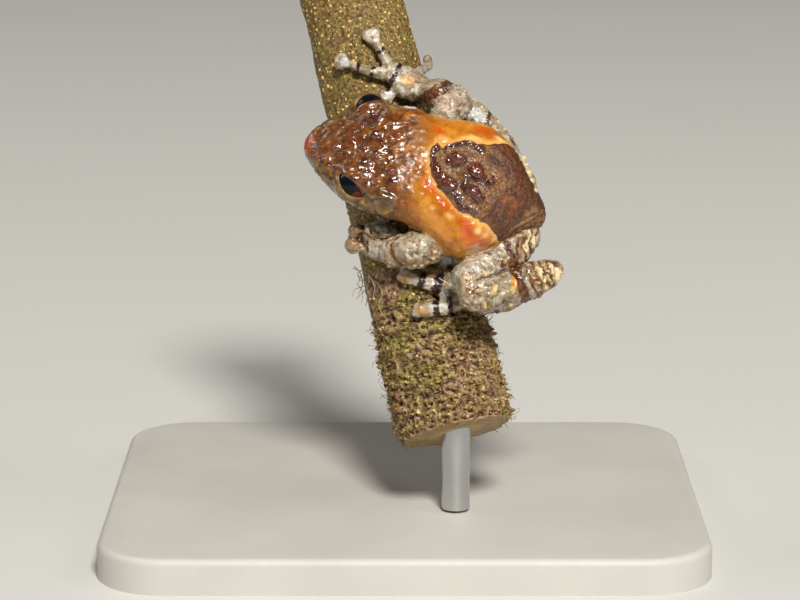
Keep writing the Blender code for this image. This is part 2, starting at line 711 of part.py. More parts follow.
def digit_pieces(key):
    """The digits of a hand or foot, each a slim tube that ends in a broad disc."""
    root, neck, disc_width = DIGIT_SIZES[key.split("_")[0]]
    pieces = []
    for route in DIGITS[key]:
        rows = []
        for step, (height, turn) in enumerate(route):
            radius = root + (neck - root) * step / (len(route) - 1)
            rows.append((*on_stem(height, turn, GAP + radius), radius))
        path = limb_path(rows, 2)
        pieces.append(tube("digit", path, outward=away_from_stem, sides=DIGIT_SIDES, cap_rings=1))
        height, turn = route[-1]
        tip = on_stem(height, turn, GAP + DISC_THICKNESS)
        along = (tip - Vector(path[-2][:3])).normalized()
        outward = away_from_stem(tip)
        across = along.cross(outward).normalized()
        axes = (across * disc_width, along * DISC_LENGTH, outward * DISC_THICKNESS)
        pieces.append(ball("disc", tip + along * 0.35, axes, sides=DISC_SIDES, rings=4))
    return pieces


def web_piece(first, second):
    """A thin web that follows the stem between the roots of two toes."""
    def edge(route, share):
        spot = stations_at([(step / (len(route) - 1), *place) for step, place in enumerate(route)], share)
        return Vector((spot[1], spot[2]))

    layers = []
    for clearance in (GAP + WEB_LIFT, GAP + WEB_LIFT + WEB_THICKNESS):
        layer = []
        for step in range(WEB_STEPS + 1):
            share = WEB_SHARE * step / WEB_STEPS
            for across in range(WEB_STEPS + 1):
                # The free edge hangs back between the toes
                hang = 1.0 - 0.45 * math.sin(math.pi * across / WEB_STEPS) * step / WEB_STEPS
                blend = across / WEB_STEPS * (1.0 + 2.0 * WEB_OVERLAP) - WEB_OVERLAP
                spot = edge(first, share * hang) * (1.0 - blend) + edge(second, share * hang) * blend
                layer.append(on_stem(spot[0], spot[1], clearance))
        layers.append(layer)
    count = WEB_STEPS + 1
    size = count * count
    faces = []
    for row in range(WEB_STEPS):
        for column in range(WEB_STEPS):
            a = row * count + column
            b, c, d = a + 1, a + count + 1, a + count
            faces += [(a, b, c), (a, c, d), (size + a, size + c, size + b), (size + a, size + d, size + c)]
    rim = [column for column in range(count)]
    rim += [row * count + count - 1 for row in range(1, count)]
    rim += [size - 1 - column for column in range(1, count)]
    rim += [row * count for row in range(count - 2, 0, -1)]
    for at, spot in enumerate(rim):
        nxt = rim[(at + 1) % len(rim)]
        faces += [(spot, nxt, size + nxt), (spot, size + nxt, size + spot)]
    return new_object("web", layers[0] + layers[1], faces)


def make_hand(key):
    palm = tube(key, palm_path(key), flatten=PALM_THICKNESS, outward=away_from_stem, sides=PALM_SIDES)
    pieces = digit_pieces(key)
    if key.startswith("foot"):
        routes = DIGITS[key]
        pieces += [web_piece(first, second) for first, second in zip(routes, routes[1:])]
    return combine(palm, pieces, "UNION")


def wider(rows):
    """A copy of a limb that is wider by the gap, to cut what it meets."""
    return tube("clearance", limb_path(rows), grow=GAP)


def wider_palm(key):
    return tube("clearance", palm_path(key), flatten=PALM_THICKNESS, outward=away_from_stem, grow=GAP)


def make_limb(kind, side, rows, cutters):
    """One segment of a limb, hollowed where the next segments press into it."""
    name = kind + "_" + side
    limb = tube(name, folded_path(rows) if kind == "shank" else limb_path(rows))
    if kind in TUBERCLES:
        combine(limb, limb_tubercles(kind, rows, seed=name), "UNION")
    return finish_piece(combine(limb, cutters, "DIFFERENCE"), name, "limb")


def make_forelimb(side):
    hand = "hand_" + side
    return [
        make_limb("upper_arm", side, UPPER_ARMS[side], [wider(FOREARMS[side])]),
        make_limb("forearm", side, FOREARMS[side], [wider_palm(hand)]),
        finish_piece(make_hand(hand), hand, "limb"),
    ]


def make_hindlimb(side):
    foot = "foot_" + side
    thigh_cutters = [wider(SHANKS[side]), wider(FOREARMS[side])]
    shank_cutters = [wider(TARSI[side]), wider(FOREARMS[side])]
    return [
        make_limb("thigh", side, THIGHS[side], thigh_cutters),
        make_limb("shank", side, SHANKS[side], shank_cutters),
        make_limb("tarsus", side, TARSI[side], [wider_palm(foot)]),
        finish_piece(make_hand(foot), foot, "limb"),
    ]


def make_stand():
    """A flat base with rounded corners and a rod that stands in the stem's lower end."""
    base_mesh = bpy.data.meshes.new("stand_base")
    shape = bmesh.new()
    corners = []
    steps = 6
    for quarter in range(4):
        sign_x = 1 if quarter in (0, 3) else -1
        sign_y = 1 if quarter in (0, 1) else -1
        for step in range(steps + 1):
            turn = math.pi / 2 * (quarter + step / steps)
            x = sign_x * (BASE_LENGTH / 2 - BASE_CORNER) + BASE_CORNER * math.cos(turn)
            y = sign_y * (BASE_WIDTH / 2 - BASE_CORNER) + BASE_CORNER * math.sin(turn)
            corners.append(shape.verts.new((x * MM, y * MM, 0.0)))
    floor = shape.faces.new(corners)
    raised = bmesh.ops.extrude_face_region(shape, geom=[floor])
    tops = [item for item in raised["geom"] if isinstance(item, bmesh.types.BMVert)]
    bmesh.ops.translate(shape, verts=tops, vec=(0.0, 0.0, BASE_THICKNESS * MM))
    bmesh.ops.recalc_face_normals(shape, faces=shape.faces)
    rim = [edge for edge in shape.edges if all(vert in tops for vert in edge.verts)]
    bmesh.ops.bevel(shape, geom=rim, offset=BASE_EDGE * MM, segments=2, profile=0.5, affect="EDGES")
    shape.to_mesh(base_mesh)
    shape.free()
    base = bpy.data.objects.new("stand_base", base_mesh)
    bpy.context.scene.collection.objects.link(base)
    finish_piece(base, "stand_base", "base")
    return base


def perch_to_world(point):
    """A point of the perch's frame, in millimetres, as a point over the stand."""
    turned = Matrix.Rotation(-TIP_BACK, 3, "X") @ Vector(point)
    return turned + Vector((0.0, 0.0, LIFT)) - STAND_SHIFT


def make_rod():
    foot = perch_to_world(on_stem(-STEM_BELOW, 0.0, -stem_radius(-STEM_BELOW)))
    bottom = BASE_THICKNESS + GAP
    top = foot.z + ROD_SINK
    sides = 24
    rings = []
    for height in (bottom, top):
        rings.append([Vector((foot.x + ROD_RADIUS * math.cos(2 * math.pi * k / sides),
                              foot.y + ROD_RADIUS * math.sin(2 * math.pi * k / sides), height))
                      for k in range(sides)])
    poles = (Vector((foot.x, foot.y, bottom)), Vector((foot.x, foot.y, top)))
    return finish_piece(new_object("stand_rod", *loft(rings, *poles)), "stand_rod", "rod")


def rod_bore():
    """The hole for the rod, in the perch's frame."""
    foot = on_stem(-STEM_BELOW, 0.0, -stem_radius(-STEM_BELOW))
    upright = Matrix.Rotation(TIP_BACK, 3, "X") @ Vector((0.0, 0.0, 1.0))
    level = upright.cross(FRONT).normalized()
    third = upright.cross(level).normalized()
    sides = 24
    radius = ROD_RADIUS + GAP
    rings = []
    for depth in (-8.0, ROD_SINK + GAP):
        rings.append([foot + upright * depth + level * radius * math.cos(2 * math.pi * k / sides)
                      + third * radius * math.sin(2 * math.pi * k / sides) for k in range(sides)])
    return new_object("bore", *loft(rings, foot - upright * 8.0, foot + upright * (ROD_SINK + GAP)))


def main():
    clear_scene()
    pose = bpy.data.objects.new("perch_frame", None)
    bpy.context.scene.collection.objects.link(pose)
    pose.rotation_euler = (-TIP_BACK, 0.0, 0.0)
    pose.location = (Vector((0.0, 0.0, LIFT)) - STAND_SHIFT) * MM

    stem = combine(stem_shell(), [rod_bore()], "DIFFERENCE")
    pieces = [finish_piece(stem, "perch_stem", "stem")]

    pieces.append(finish_piece(make_head(), "head", "head"))
    for side, name in ((1, "right"), (-1, "left")):
        eye = ball("eye", eye_centre(side), eye_axes(side, EYE_RADIUS), sides=16, rings=10)
        pieces.append(finish_piece(eye, "eye_" + name, "eye"))

    pieces.append(finish_piece(make_torso(), "torso", "torso"))

    for side in ("right", "left"):
        pieces += make_forelimb(side) + make_hindlimb(side)

    for piece in pieces:
        piece.parent = pose
    make_stand()
    make_rod()


main()
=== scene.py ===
"""Dresses a life-size bush frog in wet, warty skin on a cut length of stem, over a plain stand.

Lengths are millimetres unless a name says otherwise. Places on the frog that the picture shows are
given in the picture's own frame of 800 by 600 pixels, and a ray from the camera finds each of them
on the skin or on the bark. Colours given as three whole numbers are those seen on screen.
"""

import math
import random

import bmesh
import bpy
import numpy as np
from bpy.props import FloatProperty, FloatVectorProperty, IntProperty, PointerProperty
from mathutils import Color, Matrix, Vector
from mathutils.bvhtree import BVHTree
from mathutils.kdtree import KDTree


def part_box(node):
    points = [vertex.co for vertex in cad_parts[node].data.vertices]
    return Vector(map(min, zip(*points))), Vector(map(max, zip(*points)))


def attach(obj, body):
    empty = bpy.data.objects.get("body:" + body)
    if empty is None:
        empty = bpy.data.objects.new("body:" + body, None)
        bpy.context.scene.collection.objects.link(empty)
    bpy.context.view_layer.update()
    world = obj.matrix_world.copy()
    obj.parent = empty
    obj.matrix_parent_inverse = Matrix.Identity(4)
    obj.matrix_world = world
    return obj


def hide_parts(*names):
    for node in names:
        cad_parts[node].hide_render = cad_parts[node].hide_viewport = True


bl_info = {
    "name": "Bush Frog Display",
    "version": (1, 0, 0),
    "blender": (4, 5, 0),
    "location": "View3D > Sidebar > Bush Frog",
    "description": "Skin, eyes, bark, stand and stage for a life-size model of a warty bush frog",
    "category": "Object",
}

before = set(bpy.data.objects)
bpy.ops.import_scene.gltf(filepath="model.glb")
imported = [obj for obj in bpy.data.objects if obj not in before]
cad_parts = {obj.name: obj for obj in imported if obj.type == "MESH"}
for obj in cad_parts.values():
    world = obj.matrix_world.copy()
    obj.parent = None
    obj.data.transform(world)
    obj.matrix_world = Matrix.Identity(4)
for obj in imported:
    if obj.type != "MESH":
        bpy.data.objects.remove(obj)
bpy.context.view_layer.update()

MM = 0.001

# The picture and the camera that took it
PICTURE = (800, 600)
PIXEL = 0.086                   # width of one pixel at the frog
PICTURE_MIDDLE = np.array((-0.5, -9.0, 42.5))
CAMERA_DISTANCE = 350.0
CAMERA_RISE = math.radians(10.0)
VIEW_RIGHT = np.array((1.0, 0.0, 0.0))
VIEW_UP = np.array((0.0, math.sin(CAMERA_RISE), math.cos(CAMERA_RISE)))
VIEW_AWAY = np.array((0.0, math.cos(CAMERA_RISE), -math.sin(CAMERA_RISE)))
SENSOR = 36.0

# How the frog sits in the frame, as in its construction
PERCH_TIP = math.radians(25.0)
NECK = (0.45, 0.0, 1.5)
HEAD_HEADING = math.radians(11.3)
HEAD_PITCH = math.radians(7.0)
BODY_HEADING = math.radians(24.0)
BODY_ROLL = math.radians(7.0)
TIP = np.array(Matrix.Rotation(-PERCH_TIP, 3, "X"))

FLESH = sorted(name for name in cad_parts
               if not name.startswith(("eye_", "perch_", "stand_")))


def shown(red, green, blue):
    """A colour as seen on screen, from 0 to 255, as the linear colour that a socket takes."""
    parts = (part / 255.0 for part in (red, green, blue))
    return tuple(part / 12.92 if part <= 0.04045 else ((part + 0.055) / 1.055) ** 2.4
                 for part in parts)


def socket_colour(colour):
    """What a socket takes for a colour seen on screen, given as a tuple, or for a setting."""
    return (*(shown(*colour) if isinstance(colour, tuple) else colour), 1.0)


# Shader maths

class Value:
    """A shader socket that takes part in Python expressions."""

    def __init__(self, finish, socket):
        self.finish = finish
        self.socket = socket

    def maths(self, operation, *values):
        return self.finish.node("ShaderNodeMath", {"operation": operation}, dict(enumerate(values)))

    def __add__(self, other):
        return self.maths("ADD", self, other)

    def __sub__(self, other):
        return self.maths("SUBTRACT", self, other)

    def __rsub__(self, other):
        return self.maths("SUBTRACT", other, self)

    def __mul__(self, other):
        return self.maths("MULTIPLY", self, other)

    def least(self, other):
        return self.maths("MINIMUM", self, other)

    def power(self, exponent):
        return self.maths("POWER", self, exponent)

    def size(self):
        return self.maths("ABSOLUTE", self)

    def between(self, low, high):
        """0 below low, 1 above high, and smooth between them."""
        settings = {"interpolation_type": "SMOOTHSTEP"}
        return self.finish.node("ShaderNodeMapRange", settings, {0: self, 1: low, 2: high})


class Finish:
    """One material, to which nodes are added by one method."""

    def __init__(self, name, roughness=0.5, **constants):
        self.material = bpy.data.materials.new(name)
        self.material.use_nodes = True
        self.tree = self.material.node_tree
        self.shader = self.tree.nodes["Principled BSDF"]
        self.shader.inputs["Roughness"].default_value = roughness
        for socket, value in constants.items():
            self.shader.inputs[socket.replace("_", " ")].default_value = value
        self.place = self.node("ShaderNodeMapping", {}, {
            "Vector": self.node("ShaderNodeTexCoord", {}, {}, "Object"),
            "Scale": (1 / MM, 1 / MM, 1 / MM)})

    def node(self, kind, settings, sockets, output=0):
        """A new node: its settings are made first, then the values or links of its sockets."""
        made = self.tree.nodes.new(kind)
        for name, value in settings.items():
            setattr(made, name, value)
        for key, value in sockets.items():
            if isinstance(value, Value):
                self.tree.links.new(value.socket, made.inputs[key])
            else:
                made.inputs[key].default_value = value
        return Value(self, made.outputs[output])

    def noise(self, size, detail=3.0, roughness=0.55, place=None):
        """Cloudy values about 0.5 whose patches are about as wide as size."""
        return self.node("ShaderNodeTexNoise", {}, {
            "Vector": place or self.place, "Scale": 1.0 / size, "Detail": detail,
            "Roughness": roughness})

    def cells(self, size):
        """Distance from the middle of cells as wide as size."""
        sockets = {"Vector": self.place, "Scale": 1.0 / size}
        return self.node("ShaderNodeTexVoronoi", {}, sockets, "Distance")

    def stretched(self, turn, scale):
        """The place turned about all three axes and then stretched."""
        turned = self.node("ShaderNodeMapping", {}, {"Vector": self.place, "Rotation": turn})
        return self.node("ShaderNodeMapping", {}, {"Vector": turned, "Scale": scale})

    def field(self, name, output="Fac"):
        """What the mesh carries at its points under a name."""
        return self.node("ShaderNodeAttribute", {"attribute_name": name}, {}, output)

    def ramp(self, value, *stops):
        """A colour for each value, from stops of a place and a colour."""
        made = self.node("ShaderNodeValToRGB", {}, {0: value})
        elements = made.socket.node.color_ramp.elements
        while len(elements) < len(stops):
            elements.new(0.5)
        for element, (place, colour) in zip(elements, stops):
            element.position = place
            element.color = socket_colour(colour)
        return made

    def blend(self, share, first, second):
        """The first colour where share is 0 and the second where it is 1."""
        sockets = {0: share}
        for key, colour in ((6, first), (7, second)):
            sockets[key] = colour if isinstance(colour, Value) else socket_colour(colour)
        return self.node("ShaderNodeMix", {"data_type": "RGBA"}, sockets, 2)

    def painted(self, base, *coats):
        """A base with coats over it. Each is a share and a colour, and before these may stand a
        value, where it starts and where it is full, which the share is then multiplied by."""
        for *extent, share, colour in coats:
            if extent:
                value, start, full = extent
                share = value.between(start, full) * share
            base = self.blend(share, base, colour)
        return base

    def shaded(self, colour, value):
        """A colour made darker or lighter by a value about 1."""
        grey = self.node("ShaderNodeCombineColor", {}, {0: value, 1: value, 2: value})
        return self.node("ShaderNodeMix", {"data_type": "RGBA", "blend_type": "MULTIPLY"},
                         {0: 1.0, 6: colour, 7: grey}, 2)

    def set(self, **links):
        for socket, value in links.items():
            self.tree.links.new(value.socket, self.shader.inputs[socket.replace("_", " ")])

    def bump(self, height, depth, under=None):
        """Relief whose height of 1 stands for depth, in millimetres."""
        sockets = {"Height": height, "Distance": depth * MM, "Strength": 1.0}
        if under:
            sockets["Normal"] = under
        return self.node("ShaderNodeBump", {}, sockets)


# Work on meshes

PIXEL_STEPS = (0, 3, 6, 9)      # how far from a pixel its surface is looked for
ROUTE_STEP = 5.0                # pixels between the places where a line is laid on a surface


class Lattice:
    """Smooth random values between -1 and 1 in space, the same on each run."""

    SIZE = 32

    def __init__(self, seed):
        self.values = np.random.RandomState(seed).uniform(-1.0, 1.0, (self.SIZE,) * 3)

    def __call__(self, points, size):
        place = points / size
        cell = np.floor(place).astype(int)
        part = place - cell
        part = part * part * (3.0 - 2.0 * part)
        total = np.zeros(len(points))
        for corner in np.ndindex(2, 2, 2):
            at = (cell + corner) % self.SIZE
            weight = np.prod(np.where(np.array(corner) == 1, part, 1.0 - part), axis=1)
            total += weight * self.values[at[:, 0], at[:, 1], at[:, 2]]
        return total


def smooth_step(low, high, value):
    t = np.clip((value - low) / (high - low), 0.0, 1.0)
    return t * t * (3.0 - 2.0 * t)


class Surface:
    """A mesh being shaped, with its points, normals and edges as arrays in millimetres."""

    def __init__(self, piece):
        self.piece = piece
        self.mesh = piece.data
        count = len(self.mesh.vertices)
        self.points = np.empty(count * 3)
        self.mesh.vertices.foreach_get("co", self.points)
        self.points = self.points.reshape(-1, 3) / MM
        self.edges = np.empty(len(self.mesh.edges) * 2, dtype=np.int32)
        self.mesh.edges.foreach_get("vertices", self.edges)
        self.edges = self.edges.reshape(-1, 2)
        self.neighbours = np.maximum(np.bincount(self.edges.ravel(), minlength=count), 1)
        self.refresh()

    def refresh(self):
        """Writes the points to the mesh and reads its normals."""
        self.mesh.vertices.foreach_set("co", (self.points * MM).ravel())
        self.mesh.update()
        normals = np.empty(len(self.points) * 3)
        self.mesh.vertex_normals.foreach_get("vector", normals)
        self.normals = normals.reshape(-1, 3)

    def around(self, values):
        """The mean of each point's neighbours."""
        first, second = self.edges[:, 0], self.edges[:, 1]
        count = len(self.points)
        total = np.bincount(first, values[second], count) + np.bincount(second, values[first], count)
        return total / self.neighbours

    def spread(self, values, rounds):
        for _ in range(rounds):
            values = 0.5 * values + 0.5 * self.around(values)
        return values

    def middles(self):
        """The middle of each point's neighbours."""
        return np.stack([self.around(self.points[:, axis]) for axis in range(3)], 1)

    def relax(self, weight, rounds):
        """Draws each point towards its neighbours, as far as its weight says."""
        for _ in range(rounds):
            self.points = self.points + weight[:, None] * (self.middles() - self.points)
        self.refresh()

    def swell(self, height):
        """Moves each point along its normal."""
        self.points = self.points + self.normals * np.asarray(height).reshape(-1, 1)
        self.refresh()

    def bend(self):
        """How far each point lies under the middle of its neighbours: above 0 in a hollow."""
        return np.einsum("ij,ij->i", self.middles() - self.points, self.normals)

    def keep(self, name, values, kind="FLOAT", part="value"):
        """Stores values, or colours, at the points for the material to read."""
        layer = self.mesh.attributes.new(name, kind, "POINT")
        layer.data.foreach_set(part, np.asarray(values, dtype=np.float32).ravel())

    def aim(self):
        """Prepares the surface for rays from the camera."""
        bpy.context.view_layer.update()
        self.tree = BVHTree.FromObject(self.piece, bpy.context.evaluated_depsgraph_get())

    def under(self, x, y):
        """The point and normal of the surface that the picture shows at, or close to, a pixel."""
        for step in PIXEL_STEPS:
            for way in range(8):
                aside = math.radians(45 * way)
                start, direction = picture_ray(x + step * math.cos(aside), y + step * math.sin(aside))
                spot, normal, _, _ = self.tree.ray_cast(Vector(start * MM), Vector(direction))
                if spot is not None:
                    return np.array(spot) / MM, np.array(normal)
        raise ValueError("the picture shows nothing of %s near %g, %g" % (self.piece.name, x, y))


def picture_ray(x, y):
    """Where the ray through a pixel starts, and its direction."""
    start = PICTURE_MIDDLE - VIEW_AWAY * CAMERA_DISTANCE
    aside = VIEW_RIGHT * (x - PICTURE[0] / 2) * PIXEL + VIEW_UP * (PICTURE[1] / 2 - y) * PIXEL
    direction = VIEW_AWAY * CAMERA_DISTANCE + aside
    return start, direction / np.linalg.norm(direction)


def view_way(turn):
    """The direction in the picture's plane at an angle in degrees from its right."""
    turn = math.radians(turn)
    return VIEW_RIGHT * math.cos(turn) + VIEW_UP * math.sin(turn)


def way_from(points, start, end):
    """The way to each point from the nearest place on the line between two ends."""
    run = end - start
    share = np.clip(((points - start) @ run) / max(run @ run, 1e-9), 0.0, 1.0)
    return points - start - share[:, None] * run


def nearest_line(points, lines):
    """Distance from each point to the nearest of several lines between two ends."""
    return np.min([np.linalg.norm(way_from(points, *ends), axis=1) for ends in lines], axis=0)


def near_route(surface, route):
    """Distance in millimetres from each point to a line that the picture shows on the surface."""
    spots = []
    for (x, y), (end_x, end_y) in zip(route, route[1:]):
        steps = max(1, round(math.hypot(end_x - x, end_y - y) / ROUTE_STEP))
        for step in range(steps):
            at_x, at_y = x + (end_x - x) * step / steps, y + (end_y - y) * step / steps
            spots.append(surface.under(at_x, at_y)[0])
    spots.append(surface.under(*route[-1])[0])
    return nearest_line(surface.points, zip(spots, spots[1:]))


def to_picture(points):
    """The pixel at which the camera sees each point."""
    offset = points - PICTURE_MIDDLE
    shrink = CAMERA_DISTANCE / (CAMERA_DISTANCE + offset @ VIEW_AWAY)
    return np.stack([PICTURE[0] / 2 + offset @ VIEW_RIGHT / PIXEL * shrink,
                     PICTURE[1] / 2 - offset @ VIEW_UP / PIXEL * shrink], 1)


def oval(surface, x, y, half_length, half_width, turn=0.0):
    """How far inside an oval mark each point lies. It is below 0 outside."""
    centre, normal = surface.under(x, y)
    along = view_way(turn)
    along = along - normal * (along @ normal)
    along /= np.linalg.norm(along)
    across = np.cross(normal, along)
    offset = surface.points - centre
    reach = np.sqrt((offset @ along / half_length) ** 2 + (offset @ across / half_width) ** 2
                    + (offset @ normal / max(half_length, half_width)) ** 2)
    return (1.0 - reach) * half_width


def dome(surface, x, y, half_length, half_width, turn):
    """Rounded relief from 0 to 1 over an oval mark."""
    return smooth_step(-0.14, half_width * 0.75, oval(surface, x, y, half_length, half_width, turn))


def band(surface, x, y, half_width, turn, reach):
    """How far inside a band round a limb each point lies. The limb runs along turn there."""
    centre, normal = surface.under(x, y)
    offset = surface.points - (centre - normal * reach * 0.45)
    along = np.abs(offset @ view_way(turn))
    return np.minimum(half_width - along, reach - np.linalg.norm(offset, axis=1))


def marked(surface, marks, form=oval):
    """The highest value of several marks of one form at each point."""
    return np.max([form(surface, *mark) for mark in marks], axis=0)


def inside_outline(pixels, outline):
    """Distance in millimetres from each pixel to an outline, above 0 inside it."""
    corners = np.array(outline, dtype=float)
    sides = list(zip(corners, np.roll(corners, -1, axis=0)))
    inside = np.zeros(len(pixels), dtype=bool)
    for start, end in sides:
        crosses = (start[1] > pixels[:, 1]) != (end[1] > pixels[:, 1])
        with np.errstate(divide="ignore", invalid="ignore"):
            at = start[0] + (pixels[:, 1] - start[1]) / (end[1] - start[1]) * (end - start)[0]
        inside ^= crosses & (pixels[:, 0] < at)
    return np.where(inside, PIXEL, -PIXEL) * nearest_line(pixels, sides)


def deselect():
    for item in bpy.context.selected_objects:
        item.select_set(False)


def activate(piece):
    deselect()
    piece.select_set(True)
    bpy.context.view_layer.objects.active = piece


def apply_modifier(piece, kind, **settings):
    """Adds a modifier, sets it and applies it."""
    activate(piece)
    step = piece.modifiers.new(kind.lower(), kind)
    for name, value in settings.items():
        setattr(step, name, value)
    bpy.ops.object.modifier_apply(modifier=step.name)


def new_piece(name, mesh):
    piece = bpy.data.objects.new(name, mesh)
    bpy.context.scene.collection.objects.link(piece)
    return piece


def joined(pieces, name):
    """Several pieces as one object."""
    activate(pieces[0])
    for piece in pieces:
        piece.select_set(True)
    bpy.ops.object.join()
    pieces[0].name = name
    pieces[0].data.name = name
    return pieces[0]


def plain_shape(name, add, stretch=(1.0, 1.0, 1.0), **sizes):
    """A shape that one of the mesh operators adds, with its place, turn and stretch applied."""
    deselect()
    add(**sizes)
    piece = bpy.context.object
    piece.name = name
    piece.scale = stretch
    bpy.ops.object.transform_apply(location=True, rotation=True, scale=True)
    return piece


def pick_edges(piece, wanted):
    """Selects those edges of a piece in edit mode whose two ends are as wanted."""
    bpy.ops.mesh.select_all(action="DESELECT")
    shape = bmesh.from_edit_mesh(piece.data)
    for edge in shape.edges:
        edge.select_set(wanted(*(vert.co / MM for vert in edge.verts)))
    bmesh.update_edit_mesh(piece.data)


def finish_piece(piece, finish, slot, *nodes):
    """Gives a piece its material, its body and the nodes that it stands for."""
    piece.data.materials.clear()
    piece.data.materials.append(finish.material)
    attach(piece, "root")
    if nodes:
        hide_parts(*nodes)


# Marks, by the pixel at which the picture shows each of them. An oval is given as x, y, half
# length, half width and turn in degrees.

SADDLE_OUTLINE = (
    (439, 273), (442, 265), (449, 257), (454, 263), (458, 265), (460, 261), (473, 257), (483, 254),
    (497, 257), (512, 260), (525, 258), (541, 259), (590, 290), (620, 340), (610, 380), (570, 400),
    (540, 396), (530, 387), (526, 378), (518, 369), (511, 363), (500, 357), (490, 352),
    (478, 348), (472, 341), (465, 333), (458, 323), (450, 318), (446, 310), (441, 298), (439, 287),
)
SADDLE_WARTS = (
    (446, 265, 0.62, 0.55, 60), (443, 279, 0.90, 0.42, 95), (447, 292, 1.00, 0.52, 115),
    (453, 303, 0.80, 0.60, 130), (461, 311, 1.15, 1.00, 160), (471, 324, 0.65, 0.40, 135),
    (476, 330, 0.62, 0.50, 120), (480, 339, 0.60, 0.34, 120), (491, 345, 0.80, 0.45, 160),
    (465, 262, 0.75, 0.32, 15), (478, 259, 1.10, 0.40, 10), (490, 258, 0.85, 0.40, 0),
    (500, 263, 0.80, 0.42, 160), (505, 268, 0.46, 0.36, 150), (473, 280, 1.20, 0.90, 0),
    (500, 291, 1.05, 0.95, 70), (507, 302, 1.00, 0.48, 125), (517, 309, 0.95, 0.36, 15),
    (522, 304, 0.50, 0.32, 60), (488, 301, 1.30, 0.20, 152), (494, 317, 1.50, 0.62, 132),
    (503, 330, 0.75, 0.52, 140), (475, 328, 0.50, 0.42, 0), (505, 333, 0.50, 0.42, 0),
)
RED_BLOTCHES = (
    (451, 241, 0.85, 0.42, 125), (515, 242, 1.50, 0.55, 165), (438, 316, 1.05, 0.50, 125),
    (460, 338, 1.05, 0.42, 138), (490, 374, 1.75, 0.75, 118), (502, 388, 1.45, 0.65, 10),
)
CREAM_BLOTCHES = (
    (442, 343, 0.32, 0.26, 0), (465, 353, 0.45, 0.26, 150), (502, 372, 0.42, 0.42, 0),
    (512, 378, 0.40, 0.30, 0), (524, 382, 0.70, 0.40, 60), (458, 252, 0.50, 0.30, 150),
    (531, 253, 0.80, 0.38, 155), (498, 251, 0.9, 0.25, 175),
)
HEAD_WARTS = (
    (366, 225, 0.80, 0.68, 110), (368, 246, 0.62, 0.55, 0), (375, 256, 0.80, 0.26, 125),
    (353, 265, 0.42, 0.36, 90), (367, 271, 0.70, 0.40, 20), (353, 282, 0.80, 0.62, 160),
    (389, 294, 0.66, 0.55, 90), (337, 256, 0.45, 0.30, 20), (318, 262, 0.40, 0.28, 60),
    (398, 247, 0.55, 0.35, 10), (345, 303, 0.35, 0.25, 0),
)
HEAD_SPOTS = (
    (388, 306, 0.52, 0.34, 170), (308, 303, 0.50, 0.20, 170), (366, 225, 0.62, 0.50, 110),
    (368, 246, 0.50, 0.42, 0), (375, 256, 0.72, 0.20, 125), (353, 265, 0.32, 0.28, 90),
    (367, 271, 0.55, 0.26, 20), (353, 282, 0.60, 0.44, 160), (377, 326, 0.9, 0.10, 5),
    (391, 331, 0.7, 0.10, 145), (374, 340, 0.24, 0.2, 0),
)
LIMB_SPOTS = (
    (411, 373, 0.50, 0.34, 0), (535, 415, 0.52, 0.46, 60), (517, 402, 0.40, 0.20, 160),
    (525, 410, 0.22, 0.16, 0), (599, 413, 0.85, 0.40, 155), (559, 468, 0.70, 0.22, 20),
    (535, 464, 0.30, 0.36, 0), (488, 436, 0.24, 0.18, 0), (466, 421, 0.45, 0.34, 30),
    (477, 219, 0.32, 0.22, 20), (515, 233, 0.34, 0.24, 0), (442, 401, 0.20, 0.14, 0),
    (433, 406, 0.18, 0.14, 0), (547, 257, 0.5, 0.3, 120), (600, 441, 0.36, 0.16, 30),
    (383, 389, 0.22, 0.18, 0), (357, 388, 0.26, 0.22, 0), (362, 374, 0.14, 0.4, 20),
)
# Bands round limbs and digits: x, y, half width, direction of the limb, reach round it
LIMB_BANDS = (
    (391, 171, 0.30, -26, 2.0), (375, 135, 0.27, -50, 1.2), (363, 164, 0.22, -14, 1.1),
    (344, 156, 0.22, -14, 1.1), (437, 190, 0.62, -62, 2.4), (519, 224, 0.22, -10, 1.8),
    (426, 439, 0.42, -18, 1.4), (449, 447, 0.50, -15, 1.5), (448, 472, 0.38, 5, 1.4),
    (468, 472, 0.34, 5, 1.3), (551, 399, 0.40, 27, 2.4), (565, 438, 0.60, 20, 2.9),
    (531, 486, 0.30, 10, 1.6),
)
# Wrinkled cream hide at the heels and behind the thigh
CREAM_HIDE = (
    (591, 434, 2.10, 2.20, 20), (569, 385, 2.10, 1.35, 60), (567, 300, 1.60, 0.90, 110),
    (603, 428, 1.60, 1.60, 0),
)
